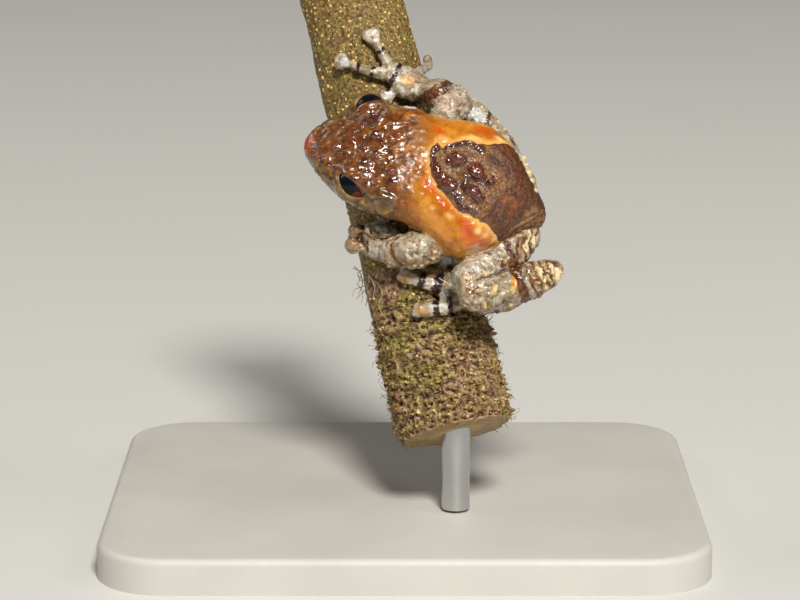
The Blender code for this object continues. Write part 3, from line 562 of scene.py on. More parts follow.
# Creases between folds, whose skin is painted darker as shade: width, depth and places on the picture
CREASES = (
    (0.30, 0.22, (397, 379), (389, 389), (388, 400), (394, 410), (402, 419)),
    (0.26, 0.26, (353, 366), (350, 376), (346, 383), (352, 391), (357, 400)),
    (0.22, 0.20, (333, 381), (341, 383), (347, 381)),
    (0.20, 0.14, (352, 374), (359, 380), (366, 383)),
    (0.18, 0.12, (366, 380), (376, 383), (386, 380), (394, 377)),
    (0.26, 0.20, (560, 415), (570, 429), (575, 444), (580, 457)),
    (0.26, 0.24, (570, 411), (578, 426), (585, 440), (588, 454)),
    (0.24, 0.22, (580, 410), (588, 424), (593, 438), (597, 447)),
    (0.24, 0.20, (591, 412), (597, 425), (601, 436)), (0.18, 0.14, (586, 430), (592, 428), (597, 431)),
    (0.18, 0.14, (574, 437), (580, 436), (585, 441)), (0.16, 0.12, (564, 420), (571, 420), (576, 423)),
    (0.22, 0.18, (552, 374), (556, 385), (553, 397), (557, 409)),
    (0.24, 0.20, (561, 368), (565, 381), (561, 393), (565, 406)),
    (0.24, 0.20, (571, 364), (575, 377), (571, 389), (574, 401)),
    (0.20, 0.16, (580, 362), (582, 373), (578, 384)), (0.16, 0.12, (556, 385), (561, 381), (566, 382)),
    (0.20, 0.16, (548, 368), (560, 359), (574, 351), (586, 347)),
    (0.20, 0.16, (556, 371), (567, 363), (579, 357), (587, 355)),
    (0.17, 0.10, (495, 452), (487, 447)), (0.17, 0.10, (495, 452), (487, 458)),
    (0.17, 0.10, (495, 452), (497, 461)), (0.17, 0.10, (495, 452), (504, 456)),
    (0.17, 0.10, (496, 451), (503, 445)), (0.12, 0.06, (488, 444), (485, 450), (489, 455)),
    (0.20, 0.16, (424, 430), (436, 431), (448, 434), (456, 438)),
    (0.18, 0.14, (404, 372), (412, 369), (420, 373)),
)
# Tubercles: x, y, half length, half width, turn, height and warmth, from 0 cream to 1 orange
TUBERCLES = (
    (548, 443, 1.25, 0.56, 78, 0.75, 1.0), (523, 450, 0.95, 0.58, 60, 0.70, 0.5),
    (510, 469, 0.70, 0.46, 100, 0.70, 0.6), (545, 469, 0.60, 0.46, 130, 0.60, 0.5),
    (511, 429, 0.50, 0.46, 30, 0.45, 0.4), (537, 412, 0.46, 0.32, 70, 0.36, 0.9),
    (489, 434, 0.32, 0.26, 0, 0.20, 0.4), (507, 211, 0.40, 0.36, 0, 0.42, 0.8),
    (528, 224, 0.34, 0.30, 0, 0.36, 0.8), (537, 240, 0.34, 0.30, 0, 0.34, 0.8),
    (484, 187, 0.32, 0.28, 0, 0.28, 0.3), (497, 197, 0.28, 0.24, 0, 0.22, 0.3),
    (561, 278, 0.60, 0.46, 60, 0.44, 0.0), (565, 287, 0.50, 0.40, 0, 0.40, 0.0),
    (569, 297, 0.56, 0.44, 70, 0.42, 0.0), (573, 307, 0.48, 0.40, 0, 0.38, 0.0),
    (577, 319, 0.50, 0.38, 70, 0.34, 0.0), (404, 417, 0.34, 0.28, 0, 0.24, 0.2),
    (412, 419, 0.32, 0.26, 0, 0.22, 0.2), (420, 418, 0.34, 0.28, 0, 0.24, 0.2),
    (428, 417, 0.32, 0.26, 0, 0.22, 0.2), (436, 414, 0.34, 0.28, 0, 0.24, 0.2),
    (443, 409, 0.34, 0.28, 0, 0.24, 0.2), (446, 400, 0.30, 0.26, 0, 0.20, 0.1),
    (384, 417, 0.32, 0.26, 0, 0.20, 0.3), (376, 412, 0.30, 0.24, 0, 0.18, 0.2),
)
# Soft colour changes, among them a few painted highlights and one painted shade: x, y, half length, half
# width, turn, share and colour on screen
TINTS = (
    (364, 116, 1.2, 1.1, 0, 0.6, (206, 198, 182)), (366, 120, 0.4, 0.3, 0, 0.8, (150, 112, 84)),
    (328, 150, 0.7, 1.2, 0, 0.7, (184, 186, 182)), (388, 195, 1.0, 0.6, 0, 0.6, (218, 214, 204)),
    (409, 206, 1.0, 0.7, 20, 0.7, (222, 218, 208)), (460, 203, 2.4, 1.7, -25, 0.55, (194, 168, 150)),
    (503, 222, 1.6, 1.1, -40, 0.65, (204, 208, 206)), (434, 162, 0.9, 0.9, 0, 0.6, (142, 142, 140)),
    (342, 372, 1.0, 0.9, 0, 0.8, (124, 94, 56)), (340, 391, 1.1, 1.0, 0, 0.8, (146, 108, 70)),
    # (374, 368) is pale skin with a painted highlight over it
    (356, 374, 0.7, 0.7, 0, 0.7, (160, 148, 122)), (374, 368, 1.2, 0.6, -10, 0.6, (206, 208, 204)),
    (374, 397, 1.5, 1.7, 0, 0.5, (200, 194, 178)), (420, 386, 2.1, 1.3, 0, 0.5, (196, 178, 154)),
    (418, 415, 2.4, 0.7, 5, 0.75, (150, 112, 66)), (384, 415, 1.1, 0.6, -30, 0.75, (150, 108, 62)),
    # (438, 424) is olive-brown flesh, painted darker as shade
    (445, 401, 0.6, 1.1, 0, 0.7, (158, 112, 68)), (438, 424, 2.4, 0.9, 0, 0.95, (112, 86, 50)),
    (404, 435, 1.1, 0.8, 0, 0.7, (164, 118, 48)), (405, 424, 0.8, 0.5, 0, 0.6, (206, 200, 186)),
    (432, 441, 2.2, 1.0, 0, 0.5, (208, 198, 178)), (429, 477, 1.0, 0.9, 0, 0.7, (164, 116, 48)),
    (452, 472, 1.6, 0.8, 0, 0.6, (208, 206, 196)), (455, 457, 1.2, 0.8, 0, 0.7, (146, 150, 146)),
    (460, 411, 1.3, 0.9, 0, 0.6, (190, 190, 182)), (505, 408, 2.8, 1.5, 25, 0.5, (180, 168, 148)),
    (494, 442, 1.7, 1.7, 0, 0.55, (184, 154, 126)), (545, 447, 2.8, 1.8, 20, 0.65, (146, 130, 102)),
    (570, 352, 1.9, 0.8, 30, 0.5, (160, 126, 84)), (560, 378, 0.8, 1.4, 0, 0.6, (106, 74, 46)),
    # (450, 368) is a painted highlight: a lighter golden patch on the orange flank
    (450, 368, 3.0, 1.4, -40, 0.35, (226, 154, 54)), (289, 262, 0.30, 0.55, 60, 0.7, (112, 104, 106)),
    (604, 416, 0.7, 0.6, 0, 0.6, (96, 64, 40)), (537, 331, 0.8, 0.45, 60, 0.5, (142, 66, 32)),
    (551, 338, 0.7, 0.5, 100, 0.5, (146, 70, 34)), (545, 351, 0.9, 0.45, 20, 0.5, (130, 60, 30)),
    (560, 322, 0.6, 0.4, 70, 0.45, (138, 64, 32)), (528, 345, 0.6, 0.4, 130, 0.4, (120, 54, 26)),
    (424, 250, 1.2, 3.4, 0, 0.35, (150, 100, 48)), (371, 341, 0.5, 0.36, 0, 0.7, (96, 66, 36)),
)
# Flesh that the solids lack: x, y, radius and height over the bark of a row of balls
EXTRA_FLESH = (
    (424, 425, 0.66, 0.35), (430, 426, 0.78, 0.40), (437, 427, 0.84, 0.45), (444, 427, 0.88, 0.50),
    (451, 428, 0.90, 0.60), (457, 429, 0.95, 0.80), (455, 412, 0.80, 1.60), (463, 412, 0.90, 1.70),
    (452, 458, 0.55, 0.50), (459, 458, 0.65, 0.60), (466, 457, 0.80, 0.80), (470, 440, 1.00, 1.20),
)
# More such balls off the stem: x, y, radius, the pixel of the flesh whose depth each takes, and
# how far behind that it lies
KNOBS = (
    (343, 373, 0.92, 345, 374, 0.00), (339, 391, 1.02, 346, 379, 0.25), (357, 374, 0.72, 358, 374, -0.10),
    (463, 430, 0.70, 463, 430, 0.10), (407, 190, 0.95, 410, 180, 0.60), (398, 183, 0.75, 402, 176, 0.50),
    (418, 192, 0.95, 420, 184, 0.50),
)
# Ends of digits drawn back: x, y, reach in millimetres and where they go
PULLS = (
    (336, 402, 1.4, 340, 393), (334, 410, 1.6, 340, 394), (325, 368, 1.5, 337, 373),
    (326, 392, 1.5, 338, 386),
)
ORANGE_PALM_MARK = (410, 175, 0.90, 0.45, 5)
# Digits made slimmer and discs made wider than in the solid: two ends on the picture, reach in
# millimetres and factor
SHAPERS = (
    (366, 130, 373, 142, 0.9, 0.88), (338, 154, 352, 159, 0.9, 0.90), (441, 160, 418, 172, 1.2, 0.85),
    (363, 116, 364, 117, 1.5, 1.16), (327, 151, 328, 151, 1.5, 1.08),
    (418, 436, 452, 444, 1.5, 1.34), (440, 472, 470, 468, 1.4, 1.42),
)
# Folds where two parts of the body press together, and their depth
SEAMS = (
    ("shank_left", "thigh_left", 0.42), ("tarsus_left", "shank_left", 0.25),
    ("upper_arm_left", "forearm_left", 0.20), ("forearm_left", "hand_left", 0.12),
    ("thigh_left", "torso", 0.22), ("foot_left", "shank_left", 0.30), ("foot_left", "thigh_left", 0.30),
    ("upper_arm_left", "torso", 0.2), ("upper_arm_right", "torso", 0.2), ("forearm_right", "torso", 0.2),
)
# Where a fold runs out: x, y and the distance from there in millimetres
SEAM_ENDS = ((494, 456, 0.9),)
EARDRUM = (378, 339)
# The fold from behind the eye over the eardrum
EAR_FOLD = ((356, 329), (365, 326), (375, 325), (385, 327), (393, 333), (397, 342))
EARDRUM_RADIUS = 1.02

FLESH_GROWTH = 0.17             # closes the gaps between the solids
FIRST_VOXEL = 0.165             # the mesh size that the rounds of smoothing were chosen for
SMOOTH_ROUNDS = 34
LID_SUNK = 0.35                 # how far the skin sinks behind the eyeball's surface
STREAK_TURN = 12.0              # direction of the wrinkles on the head, in degrees
HIDDEN_TILT = 0.30              # above this, a point faces away from the camera
HIDDEN_SHARE = 0.15             # share of the faces that is kept there


class FrogSkinSettings(bpy.types.PropertyGroup):
    voxel: FloatProperty(
        name="Mesh size", description="Width of one face of the skin",
        default=0.155 * MM, min=0.1 * MM, unit="LENGTH")
    wart_height: FloatProperty(
        name="Wart height", description="How far the large warts of the saddle stand out",
        default=0.30 * MM, min=0.0, unit="LENGTH")
    wrinkle_height: FloatProperty(
        name="Wrinkle height", description="Height of the wrinkles on top of the head",
        default=0.15 * MM, min=0.0, unit="LENGTH")
    head_colour: FloatVectorProperty(
        name="Head", description="Middle brown of the head", subtype="COLOR",
        default=shown(92, 50, 16))
    flank_colour: FloatVectorProperty(
        name="Flank", description="Orange of the back and flanks", subtype="COLOR",
        default=shown(190, 116, 24))
    saddle_colour: FloatVectorProperty(
        name="Saddle", description="Brown of the saddle on the back", subtype="COLOR",
        default=shown(82, 44, 13))
    wart_colour: FloatVectorProperty(
        name="Warts", description="Chocolate of warts and bands", subtype="COLOR",
        default=shown(78, 25, 10))
    limb_colour: FloatVectorProperty(
        name="Limbs", description="Silvery grey of the limbs", subtype="COLOR",
        default=shown(150, 133, 103))
    cream_colour: FloatVectorProperty(
        name="Cream", description="Pale folds at the heels and lips", subtype="COLOR",
        default=shown(218, 198, 156))


def merged_copy(node, grow):
    """A copy of a CAD node with its triangles merged, grown along its normals."""
    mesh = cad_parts[node].data.copy()
    shape = bmesh.new()
    shape.from_mesh(mesh)
    bmesh.ops.remove_doubles(shape, verts=shape.verts, dist=0.001 * MM)
    shape.normal_update()
    for vert in shape.verts:
        vert.co += vert.normal * grow * MM
    shape.to_mesh(mesh)
    shape.free()
    mesh.materials.clear()
    return new_piece("flesh", mesh)


def owners(points, pieces):
    """The number of the piece nearest to each point."""
    verts, faces, owner = [], [], []
    for number, piece in enumerate(pieces):
        start = len(verts)
        verts += [vert.co.copy() for vert in piece.data.vertices]
        for face in piece.data.polygons:
            faces.append([start + index for index in face.vertices])
            owner.append(number)
    tree = BVHTree.FromPolygons(verts, faces)
    return np.array([owner[tree.find_nearest(Vector(point * MM))[2]] for point in points])


def body_axes(heading, pitch):
    """Directions backwards, right and up of the head or the body, as columns."""
    front = np.array((0.0, -1.0, 0.0))
    back = np.array((math.cos(heading), 0.0, -math.sin(heading))) * math.cos(pitch)
    back = back + front * math.sin(pitch)
    right = np.cross(front, back)
    right /= np.linalg.norm(right)
    turn = np.array(Matrix.Rotation(-BODY_ROLL, 3, Vector(back)))
    return np.stack([back, turn @ right, turn @ np.cross(back, right)], 1)


def trunk_places(points):
    """Each point's places along, right of and above the middle line from snout to vent."""
    local = (points - PICTURE_MIDDLE) @ TIP - np.array(NECK)
    head = local @ body_axes(HEAD_HEADING, HEAD_PITCH)
    body = local @ body_axes(BODY_HEADING, 0.0)
    share = smooth_step(-2.0, 2.0, (head[:, 0] + body[:, 0]) / 2.0)[:, None]
    return head * (1.0 - share) + body * share


def box_middle(low, high):
    """The middle of a box of the CAD, in millimetres."""
    return np.array((low + high) / 2.0) / MM


class Eye:
    """Where an eye lies and how its lids open. The picture shows the left one, and the right
    one mirrors it across the head."""

    RADIUS = 1.92
    FRONT_CORNER, REAR_CORNER = (322.5, 294.5), (354.5, 326.5)
    UPPER_EDGE, LOWER_EDGE = (340.0, 309.5), (328.5, 321.5)
    CORNER = 0.97

    def __init__(self, side):
        node = box_middle(*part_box("eye_left"))
        centre = node + VIEW_RIGHT * 0.27 + VIEW_UP * 0.10
        ends = [self.on_ball(centre, *place) for place in (
            self.FRONT_CORNER, self.REAR_CORNER, self.UPPER_EDGE, self.LOWER_EDGE)]
        long = ends[1] - ends[0]
        long /= np.linalg.norm(long)
        look = ends[2] + ends[3]
        look -= long * (look @ long)
        look /= np.linalg.norm(look)
        across = np.cross(look, long)
        if across @ (ends[2] - ends[3]) < 0.0:
            across = -across
        self.half_angle = 0.5 * math.acos(min(1.0, ends[2] @ ends[3]))
        if side == "right":
            axes = TIP @ body_axes(HEAD_HEADING, HEAD_PITCH)
            flip = axes @ np.diag((1.0, -1.0, 1.0)) @ axes.T
            centre = box_middle(*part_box("eye_right")) + flip @ (centre - node)
            long, look, across = flip @ long, flip @ look, flip @ across
        self.centre, self.long, self.look, self.across = centre, long, look, across

    def on_ball(self, centre, x, y):
        """Direction from the centre to the eyeball's nearest point under a pixel."""
        start, direction = picture_ray(x, y)
        offset = start - centre
        b = offset @ direction
        root = max(b * b - offset @ offset + self.RADIUS ** 2, 0.0) ** 0.5
        spot = offset + direction * (-b - root)
        return spot / np.linalg.norm(spot)

    def places(self, points):
        """Place along the opening from -1 to 1, angle across it, and distance from the centre."""
        offset = points - self.centre
        far = np.maximum(np.linalg.norm(offset, axis=1), 1e-6)
        along = offset @ self.long / far
        return along, np.arctan2(offset @ self.across, offset @ self.look), far

    def outside(self, along, angle):
        """Distance from the edge of the lids' opening, above 0 on the lids."""
        return 0.75 * (np.sqrt((angle / self.half_angle) ** 2 + (along / self.CORNER) ** 2) - 1.0)


def grains(surface, spacing, radius, chosen, seed):
    """Small round grains from 0 to 1, strewn over the chosen points."""
    draw = random.Random(seed)
    places = np.flatnonzero(chosen)
    centres = []
    order = list(range(len(places)))
    draw.shuffle(order)
    cells = {}
    for at in order:
        point = surface.points[places[at]]
        cell = tuple(np.floor(point / spacing).astype(int))
        near = [cells.get((cell[0] + i, cell[1] + j, cell[2] + k))
                for i in (-1, 0, 1) for j in (-1, 0, 1) for k in (-1, 0, 1)]
        gaps = (np.sum((other - point) ** 2) for other in near if other is not None)
        if all(gap >= (spacing * 0.75) ** 2 for gap in gaps):
            cells[cell] = point
            centres.append(point)
    kept = KDTree(len(centres))
    for number, point in enumerate(centres):
        kept.insert(point, number)
    kept.balance()
    sizes = np.array([draw.uniform(0.7, 1.25) for _ in centres])
    made = np.zeros(len(surface.points))
    for index in places:
        _, number, distance = kept.find(surface.points[index])
        share = distance / (radius * sizes[number])
        if share < 1.0:
            made[index] = (1.0 - share * share) ** 1.5 * sizes[number]
    return made


def close_lids(surface, eye):
    """Fits the skin over an eyeball, all but the lids' opening, where it sinks out of sight."""
    along, angle, far = eye.places(surface.points)
    gap = eye.outside(along, angle)
    ball = eye.RADIUS
    low = smooth_step(0.0, -0.3, angle) * smooth_step(0.7, 0.3, gap)
    lid = ball - LID_SUNK + (0.45 - 0.07 * low) * smooth_step(-0.13, 0.07, gap)
    lid += 0.10 * smooth_step(0.05, 0.5, gap)
    share = smooth_step(0.35, 0.95, gap) * (far > ball)
    wanted = np.maximum(lid * (1.0 - share) + far * share, ball - LID_SUNK)
    wanted = np.where(gap > 0.2, np.maximum(wanted, ball + 0.13 - 0.08 * low), wanted)
    near = (far < ball + 1.1) & (gap < 1.6)
    wanted = np.where(near, wanted, far)
    surface.points = eye.centre + (surface.points - eye.centre) * (wanted / far)[:, None]
    surface.refresh()
    return np.where(near, gap, 9.0), np.where(near, angle, 0.0)


def ball(centre, radius):
    """A sphere to be joined with the flesh."""
    return plain_shape("ball", bpy.ops.mesh.primitive_uv_sphere_add, segments=48, ring_count=24,
                       radius=radius * MM, location=centre * MM)


def thin_out(skin, hidden, share):
    """Merges faces where the picture doesn't look, down to a share of them."""
    activate(skin)
    chosen = hidden[[vert for face in skin.data.polygons for vert in face.vertices[:1]]]
    for face, pick in zip(skin.data.polygons, chosen):
        face.select = bool(pick)
    bpy.ops.object.mode_set(mode="EDIT")
    bpy.ops.mesh.decimate(ratio=share)
    bpy.ops.object.mode_set(mode="OBJECT")


def merged_flesh(eyes, voxel):
    """One closed skin round all the flesh nodes, and the knobs that it was given."""
    pieces = [merged_copy(node, FLESH_GROWTH) for node in FLESH]
    pieces += [ball(eye.centre, Eye.RADIUS + 0.30) for eye in eyes]
    for x, y, radius, lift in EXTRA_FLESH:
        height, angle, _ = stem_places(stem_point(x, y)[None])
        centre = on_stem(height, angle, [STEM_RADIUS + lift])[0]
        pieces.append(ball(centre, radius + FLESH_GROWTH))
    skin = joined(pieces, "frog_skin")
    surface = Surface(skin)
    surface.aim()
    knobs = []
    for x, y, radius, at_x, at_y, back in KNOBS:
        start, direction = picture_ray(x, y)
        far = (surface.under(at_x, at_y)[0] - start) @ direction + back
        knobs.append((start + direction * far, radius + FLESH_GROWTH))
    skin = joined([skin, *[ball(*knob) for knob in knobs]], "frog_skin")
    apply_modifier(skin, "REMESH", mode="VOXEL", voxel_size=voxel, use_smooth_shade=True)
    return skin, knobs


def node_finder(surface):
    """A function that gives 1 at the points of nodes whose names start as asked, and else 0."""
    shapes = [merged_copy(node, 0.0) for node in FLESH]
    owner = owners(surface.points, shapes)
    for shape in shapes:
        bpy.data.objects.remove(shape, do_unlink=True)

    def part_of(*kinds):
        chosen = [number for number, name in enumerate(FLESH) if name.startswith(kinds)]
        return np.isin(owner, chosen).astype(float)

    return part_of


def shape_digits(surface, digits, hand, knobs):
    """Slims digits, widens discs and draws in the ends that the picture doesn't show."""
    pixels = to_picture(surface.points)
    for x, y, end_x, end_y, reach, factor in SHAPERS:
        aside = way_from(pixels, np.array((x, y), float), np.array((end_x, end_y), float)) * PIXEL
        push = smooth_step(reach, reach * 0.55, np.linalg.norm(aside, axis=1)) * digits * (factor - 1.0)
        step = np.outer(aside[:, 0], VIEW_RIGHT) - np.outer(aside[:, 1], VIEW_UP)
        surface.points += push[:, None] * step
    free = np.min([np.linalg.norm(surface.points - centre, axis=1) - radius
                   for centre, radius in knobs], axis=0)
    free = smooth_step(0.05, 0.5, free)
    for x, y, reach, to_x, to_y in PULLS:
        near = smooth_step(reach, 0.3 * reach, np.linalg.norm(pixels - (x, y), axis=1) * PIXEL)
        step = VIEW_RIGHT * (to_x - x) * PIXEL + VIEW_UP * (y - to_y) * PIXEL
        surface.points += np.outer(near * free * hand, step)
    surface.refresh()
    surface.relax(0.4 * hand * free, 4)


class OBJECT_OT_frog_skin(bpy.types.Operator):
    """Make the frog's one skin, with its lids, folds, warts and markings"""
    bl_idname = "object.frog_skin"
    bl_label = "Frog Skin"

    def execute(self, context):
        settings = context.scene.frog_skin
        eyes = [Eye("left"), Eye("right")]
        skin, knobs = merged_flesh(eyes, settings.voxel)
        surface = Surface(skin)
        part_of = node_finder(surface)
        head = surface.spread(part_of("head"), 30)
        torso = surface.spread(part_of("torso"), 20)
        digits = surface.spread(part_of("hand", "foot"), 10)
        limb = surface.spread(1.0 - part_of("head", "torso"), 9)
        seam = np.zeros(len(surface.points))
        for first, second, depth in SEAMS:
            both = surface.spread(part_of(first), 5) * surface.spread(part_of(second), 5)
            seam = np.maximum(seam, depth * smooth_step(0.03, 0.24, both))
        for x, y, reach in SEAM_ENDS:
            far = np.linalg.norm(to_picture(surface.points) - (x, y), axis=1) * PIXEL
            seam *= smooth_step(reach, reach + 1.6, far)

        # Facets are smoothed away, while hollows and thin digits stay crisp
        hollow = surface.spread(smooth_step(0.0, 0.035, surface.bend()), 2)
        weight = 0.55 * (1.0 - 0.85 * np.clip(hollow * 1.6, 0.0, 1.0)) * (1.0 - 0.82 * digits)
        surface.relax(weight, int(SMOOTH_ROUNDS / (settings.voxel / (FIRST_VOXEL * MM)) ** 2))
        surface.swell(-FLESH_GROWTH + 0.05 * (1.0 - digits) - seam)
        surface.relax(np.full(len(surface.points), 0.3), 2)
        shape_digits(surface, digits, part_of("hand_left"), knobs)
        surface.aim()

        # Marks
        points = surface.points
        along, right, above = trunk_places(points).T
        pixels = to_picture(points)
        trunk = np.clip(head + torso, 0.0, 1.0)
        waves, fine = Lattice(3), Lattice(7)
        on_trunk = limb < 0.5
        saddle = inside_outline(pixels, SADDLE_OUTLINE) + 0.16 * waves(points, 0.45)
        floor = np.where(pixels[:, 0] > 520.0, -3.0, 0.0)
        saddle = surface.spread(np.where((above > floor) & on_trunk, saddle, -2.0), 1)
        warts = np.where(on_trunk, marked(surface, SADDLE_WARTS), -2.0)
        warts = warts + 0.14 * fine(points, 0.42) + 0.12 * waves(points, 0.8)
        bands = np.maximum(marked(surface, LIMB_SPOTS), marked(surface, LIMB_BANDS, band))
        hide = marked(surface, CREAM_HIDE)
        head_warts = marked(surface, HEAD_WARTS, dome) * on_trunk
        drum = np.linalg.norm(points - surface.under(*EARDRUM)[0], axis=1)
        brown = -0.4 - 0.2 * right - along + 0.5 * waves(points, 1.3)
        width = 6.6 * np.sqrt(np.clip((along + 12.0) / 9.0, 0.02, 1.0))
        ear_fold = near_route(surface, EAR_FOLD)

        tubercles, warmth, peak = np.zeros((3, len(points)))
        rough = 0.10 * fine(points, 0.35)
        for x, y, length, wide, turn, height, warm in TUBERCLES:
            share = np.clip(oval(surface, x, y, length, wide, turn) / wide + rough, 0.0, 1.0)
            warmth = np.where(share > peak, warm, warmth)
            peak = np.maximum(peak, share)
            tubercles = np.maximum(tubercles, height * share ** 1.4)

        # Each crease sinks into the skin, and the material paints it darker brown as shade
        crease_shade = np.full(len(points), -1.0)
        groove = np.zeros(len(points))
        shift, broaden = 0.12 * waves(points, 0.5), 1.3 + 0.7 * fine(points, 0.7)
        rough = 0.5 * waves(points + 9.0, 0.6)
        for wide, depth, *route in CREASES:
            share = 1.0 - (near_route(surface, route) + shift) / (wide * broaden)
            crease_shade = np.maximum(crease_shade, share)
            groove = np.maximum(groove, depth * smooth_step(-0.4, 1.0, share + rough))

        # Wrinkles on top of the head, and grains
        streaks = np.stack([points @ view_way(STREAK_TURN) / 2.1 + 0.8 * waves(points, 1.0),
                            points @ view_way(STREAK_TURN + 90.0) / 0.50 + 0.6 * waves(points, 0.9),
                            points @ VIEW_AWAY / 1.2], 1)
        ridges = 1.2 * np.clip(np.abs(fine(streaks, 1.0)) * 2.6, 0.0, 1.0) ** 0.6 - 0.8
        top = smooth_step(-1.6, 0.6, above)
        crown = smooth_step(-1.2, 0.8, brown) * head * top * smooth_step(3.6, 1.6, np.abs(right) - 1.5)
        crown *= smooth_step(-11.0, -9.6, along)
        pebbles = grains(surface, 0.50, 0.36, limb > 0.4, 5)
        back_grains = grains(surface, 1.1, 0.30, (trunk > 0.6) & (above > -2.0), 9)
        crown_grains = grains(surface, 0.9, 0.34, head > 0.5, 12)
        wart_grains = grains(surface, 0.50, 0.34, saddle > -0.1, 17)

        # Relief
        relief = (settings.wart_height / MM * smooth_step(-0.14, 0.38, warts)
                  * (1.0 + 0.2 * wart_grains))
        relief += 0.05 * wart_grains * smooth_step(0.0, 0.2, saddle) * smooth_step(-1.6, -0.6, warts)
        relief += 0.20 * head_warts + tubercles
        relief += (settings.wrinkle_height / MM * ridges * crown
                   * (1.0 + 0.5 * smooth_step(-6.5, -8.0, along)))
        relief += 0.07 * pebbles * limb * (1.0 - 0.5 * digits) + 0.06 * back_grains * (1.0 - crown)
        relief += 0.04 * crown_grains * head * top
        relief += 0.06 * waves(points, 0.9) * (1.0 - digits) + 0.04 * fine(points, 0.5)
        crinkle = 0.11 * waves(points, 0.8) + 0.08 * fine(points, 1.5)
        crinkle += 0.10 * (0.5 - np.abs(fine(points, 0.7)) * 1.6)
        crinkle += 0.08 * (0.5 - np.abs(waves(points + 5.0, 0.42)) * 1.8)
        calm = 1.0 - np.clip(2.0 * hollow, 0.0, 1.0)
        relief += 1.2 * limb * crinkle * (1.0 - 0.45 * digits) * calm
        ruffles = 0.26 * fine(points, 0.95) + 0.22 * (0.4 - np.abs(waves(points, 0.55)) * 2.0)
        relief += smooth_step(-0.2, 0.6, hide) * limb * ruffles
        leathery = 0.4 - np.abs(fine(points + 3.0, 0.40)) * 1.6
        relief += 0.06 * smooth_step(0.0, 0.3, saddle) * leathery
        relief -= surface.spread(groove, 1)
        ring = drum - EARDRUM_RADIUS * (1.0 + 0.12 * fine(points, 0.9))
        relief += 0.13 * smooth_step(0.30, 0.0, np.abs(ring)) * (head > 0.4)
        relief -= 0.14 * smooth_step(0.85, 0.3, drum)
        relief += 0.20 * smooth_step(0.50, 0.05, ear_fold)

        fields = {
            "limb": limb, "digits": digits, "above": above, "along": along, "saddle": saddle,
            "warts": warts, "spots": marked(surface, HEAD_SPOTS), "hide": hide,
            "bands": np.where(limb > 0.5, bands, -1.0), "red": marked(surface, RED_BLOTCHES),
            "cream": marked(surface, CREAM_BLOTCHES), "head_warts": head_warts,
            "tubercles": peak, "drum": drum, "brown": brown, "ear_fold": ear_fold,
            "jaw": above / 3.2 + 2.0 * (1.0 - np.abs(right) / width), "crease_shade": crease_shade,
            "warmth": warmth,
        }
        surface.swell(relief)
        (left_gap, left_angle), (right_gap, right_angle) = [close_lids(surface, eye) for eye in eyes]
        fields["lids"] = np.minimum(left_gap, right_gap)
        fields["lid_angle"] = left_angle + right_angle
        fields["palm_mark"] = oval(surface, *ORANGE_PALM_MARK)
        # Depth of each hollow, in which the material paints the limbs darker as shade
        fields["hollow"] = surface.spread(surface.bend(), 1)
        for name, values in fields.items():
            surface.keep(name, values)
        tint = np.zeros((len(surface.points), 4))
        rough = 0.25 * fine(surface.points, 0.5)
        for x, y, length, wide, turn, share, colour in TINTS:
            inside = oval(surface, x, y, length, wide, turn) / wide + rough
            inside = smooth_step(-0.15, 0.45, inside)[:, None]
            tint += inside * (np.array((*shown(*colour), share)) - tint)
        surface.keep("tint", tint, "FLOAT_COLOR", "color")
        thin_out(skin, surface.normals @ VIEW_AWAY > HIDDEN_TILT, HIDDEN_SHARE)
        finish_piece(skin, skin_finish(settings), "skin", *FLESH)
        return {"FINISHED"}


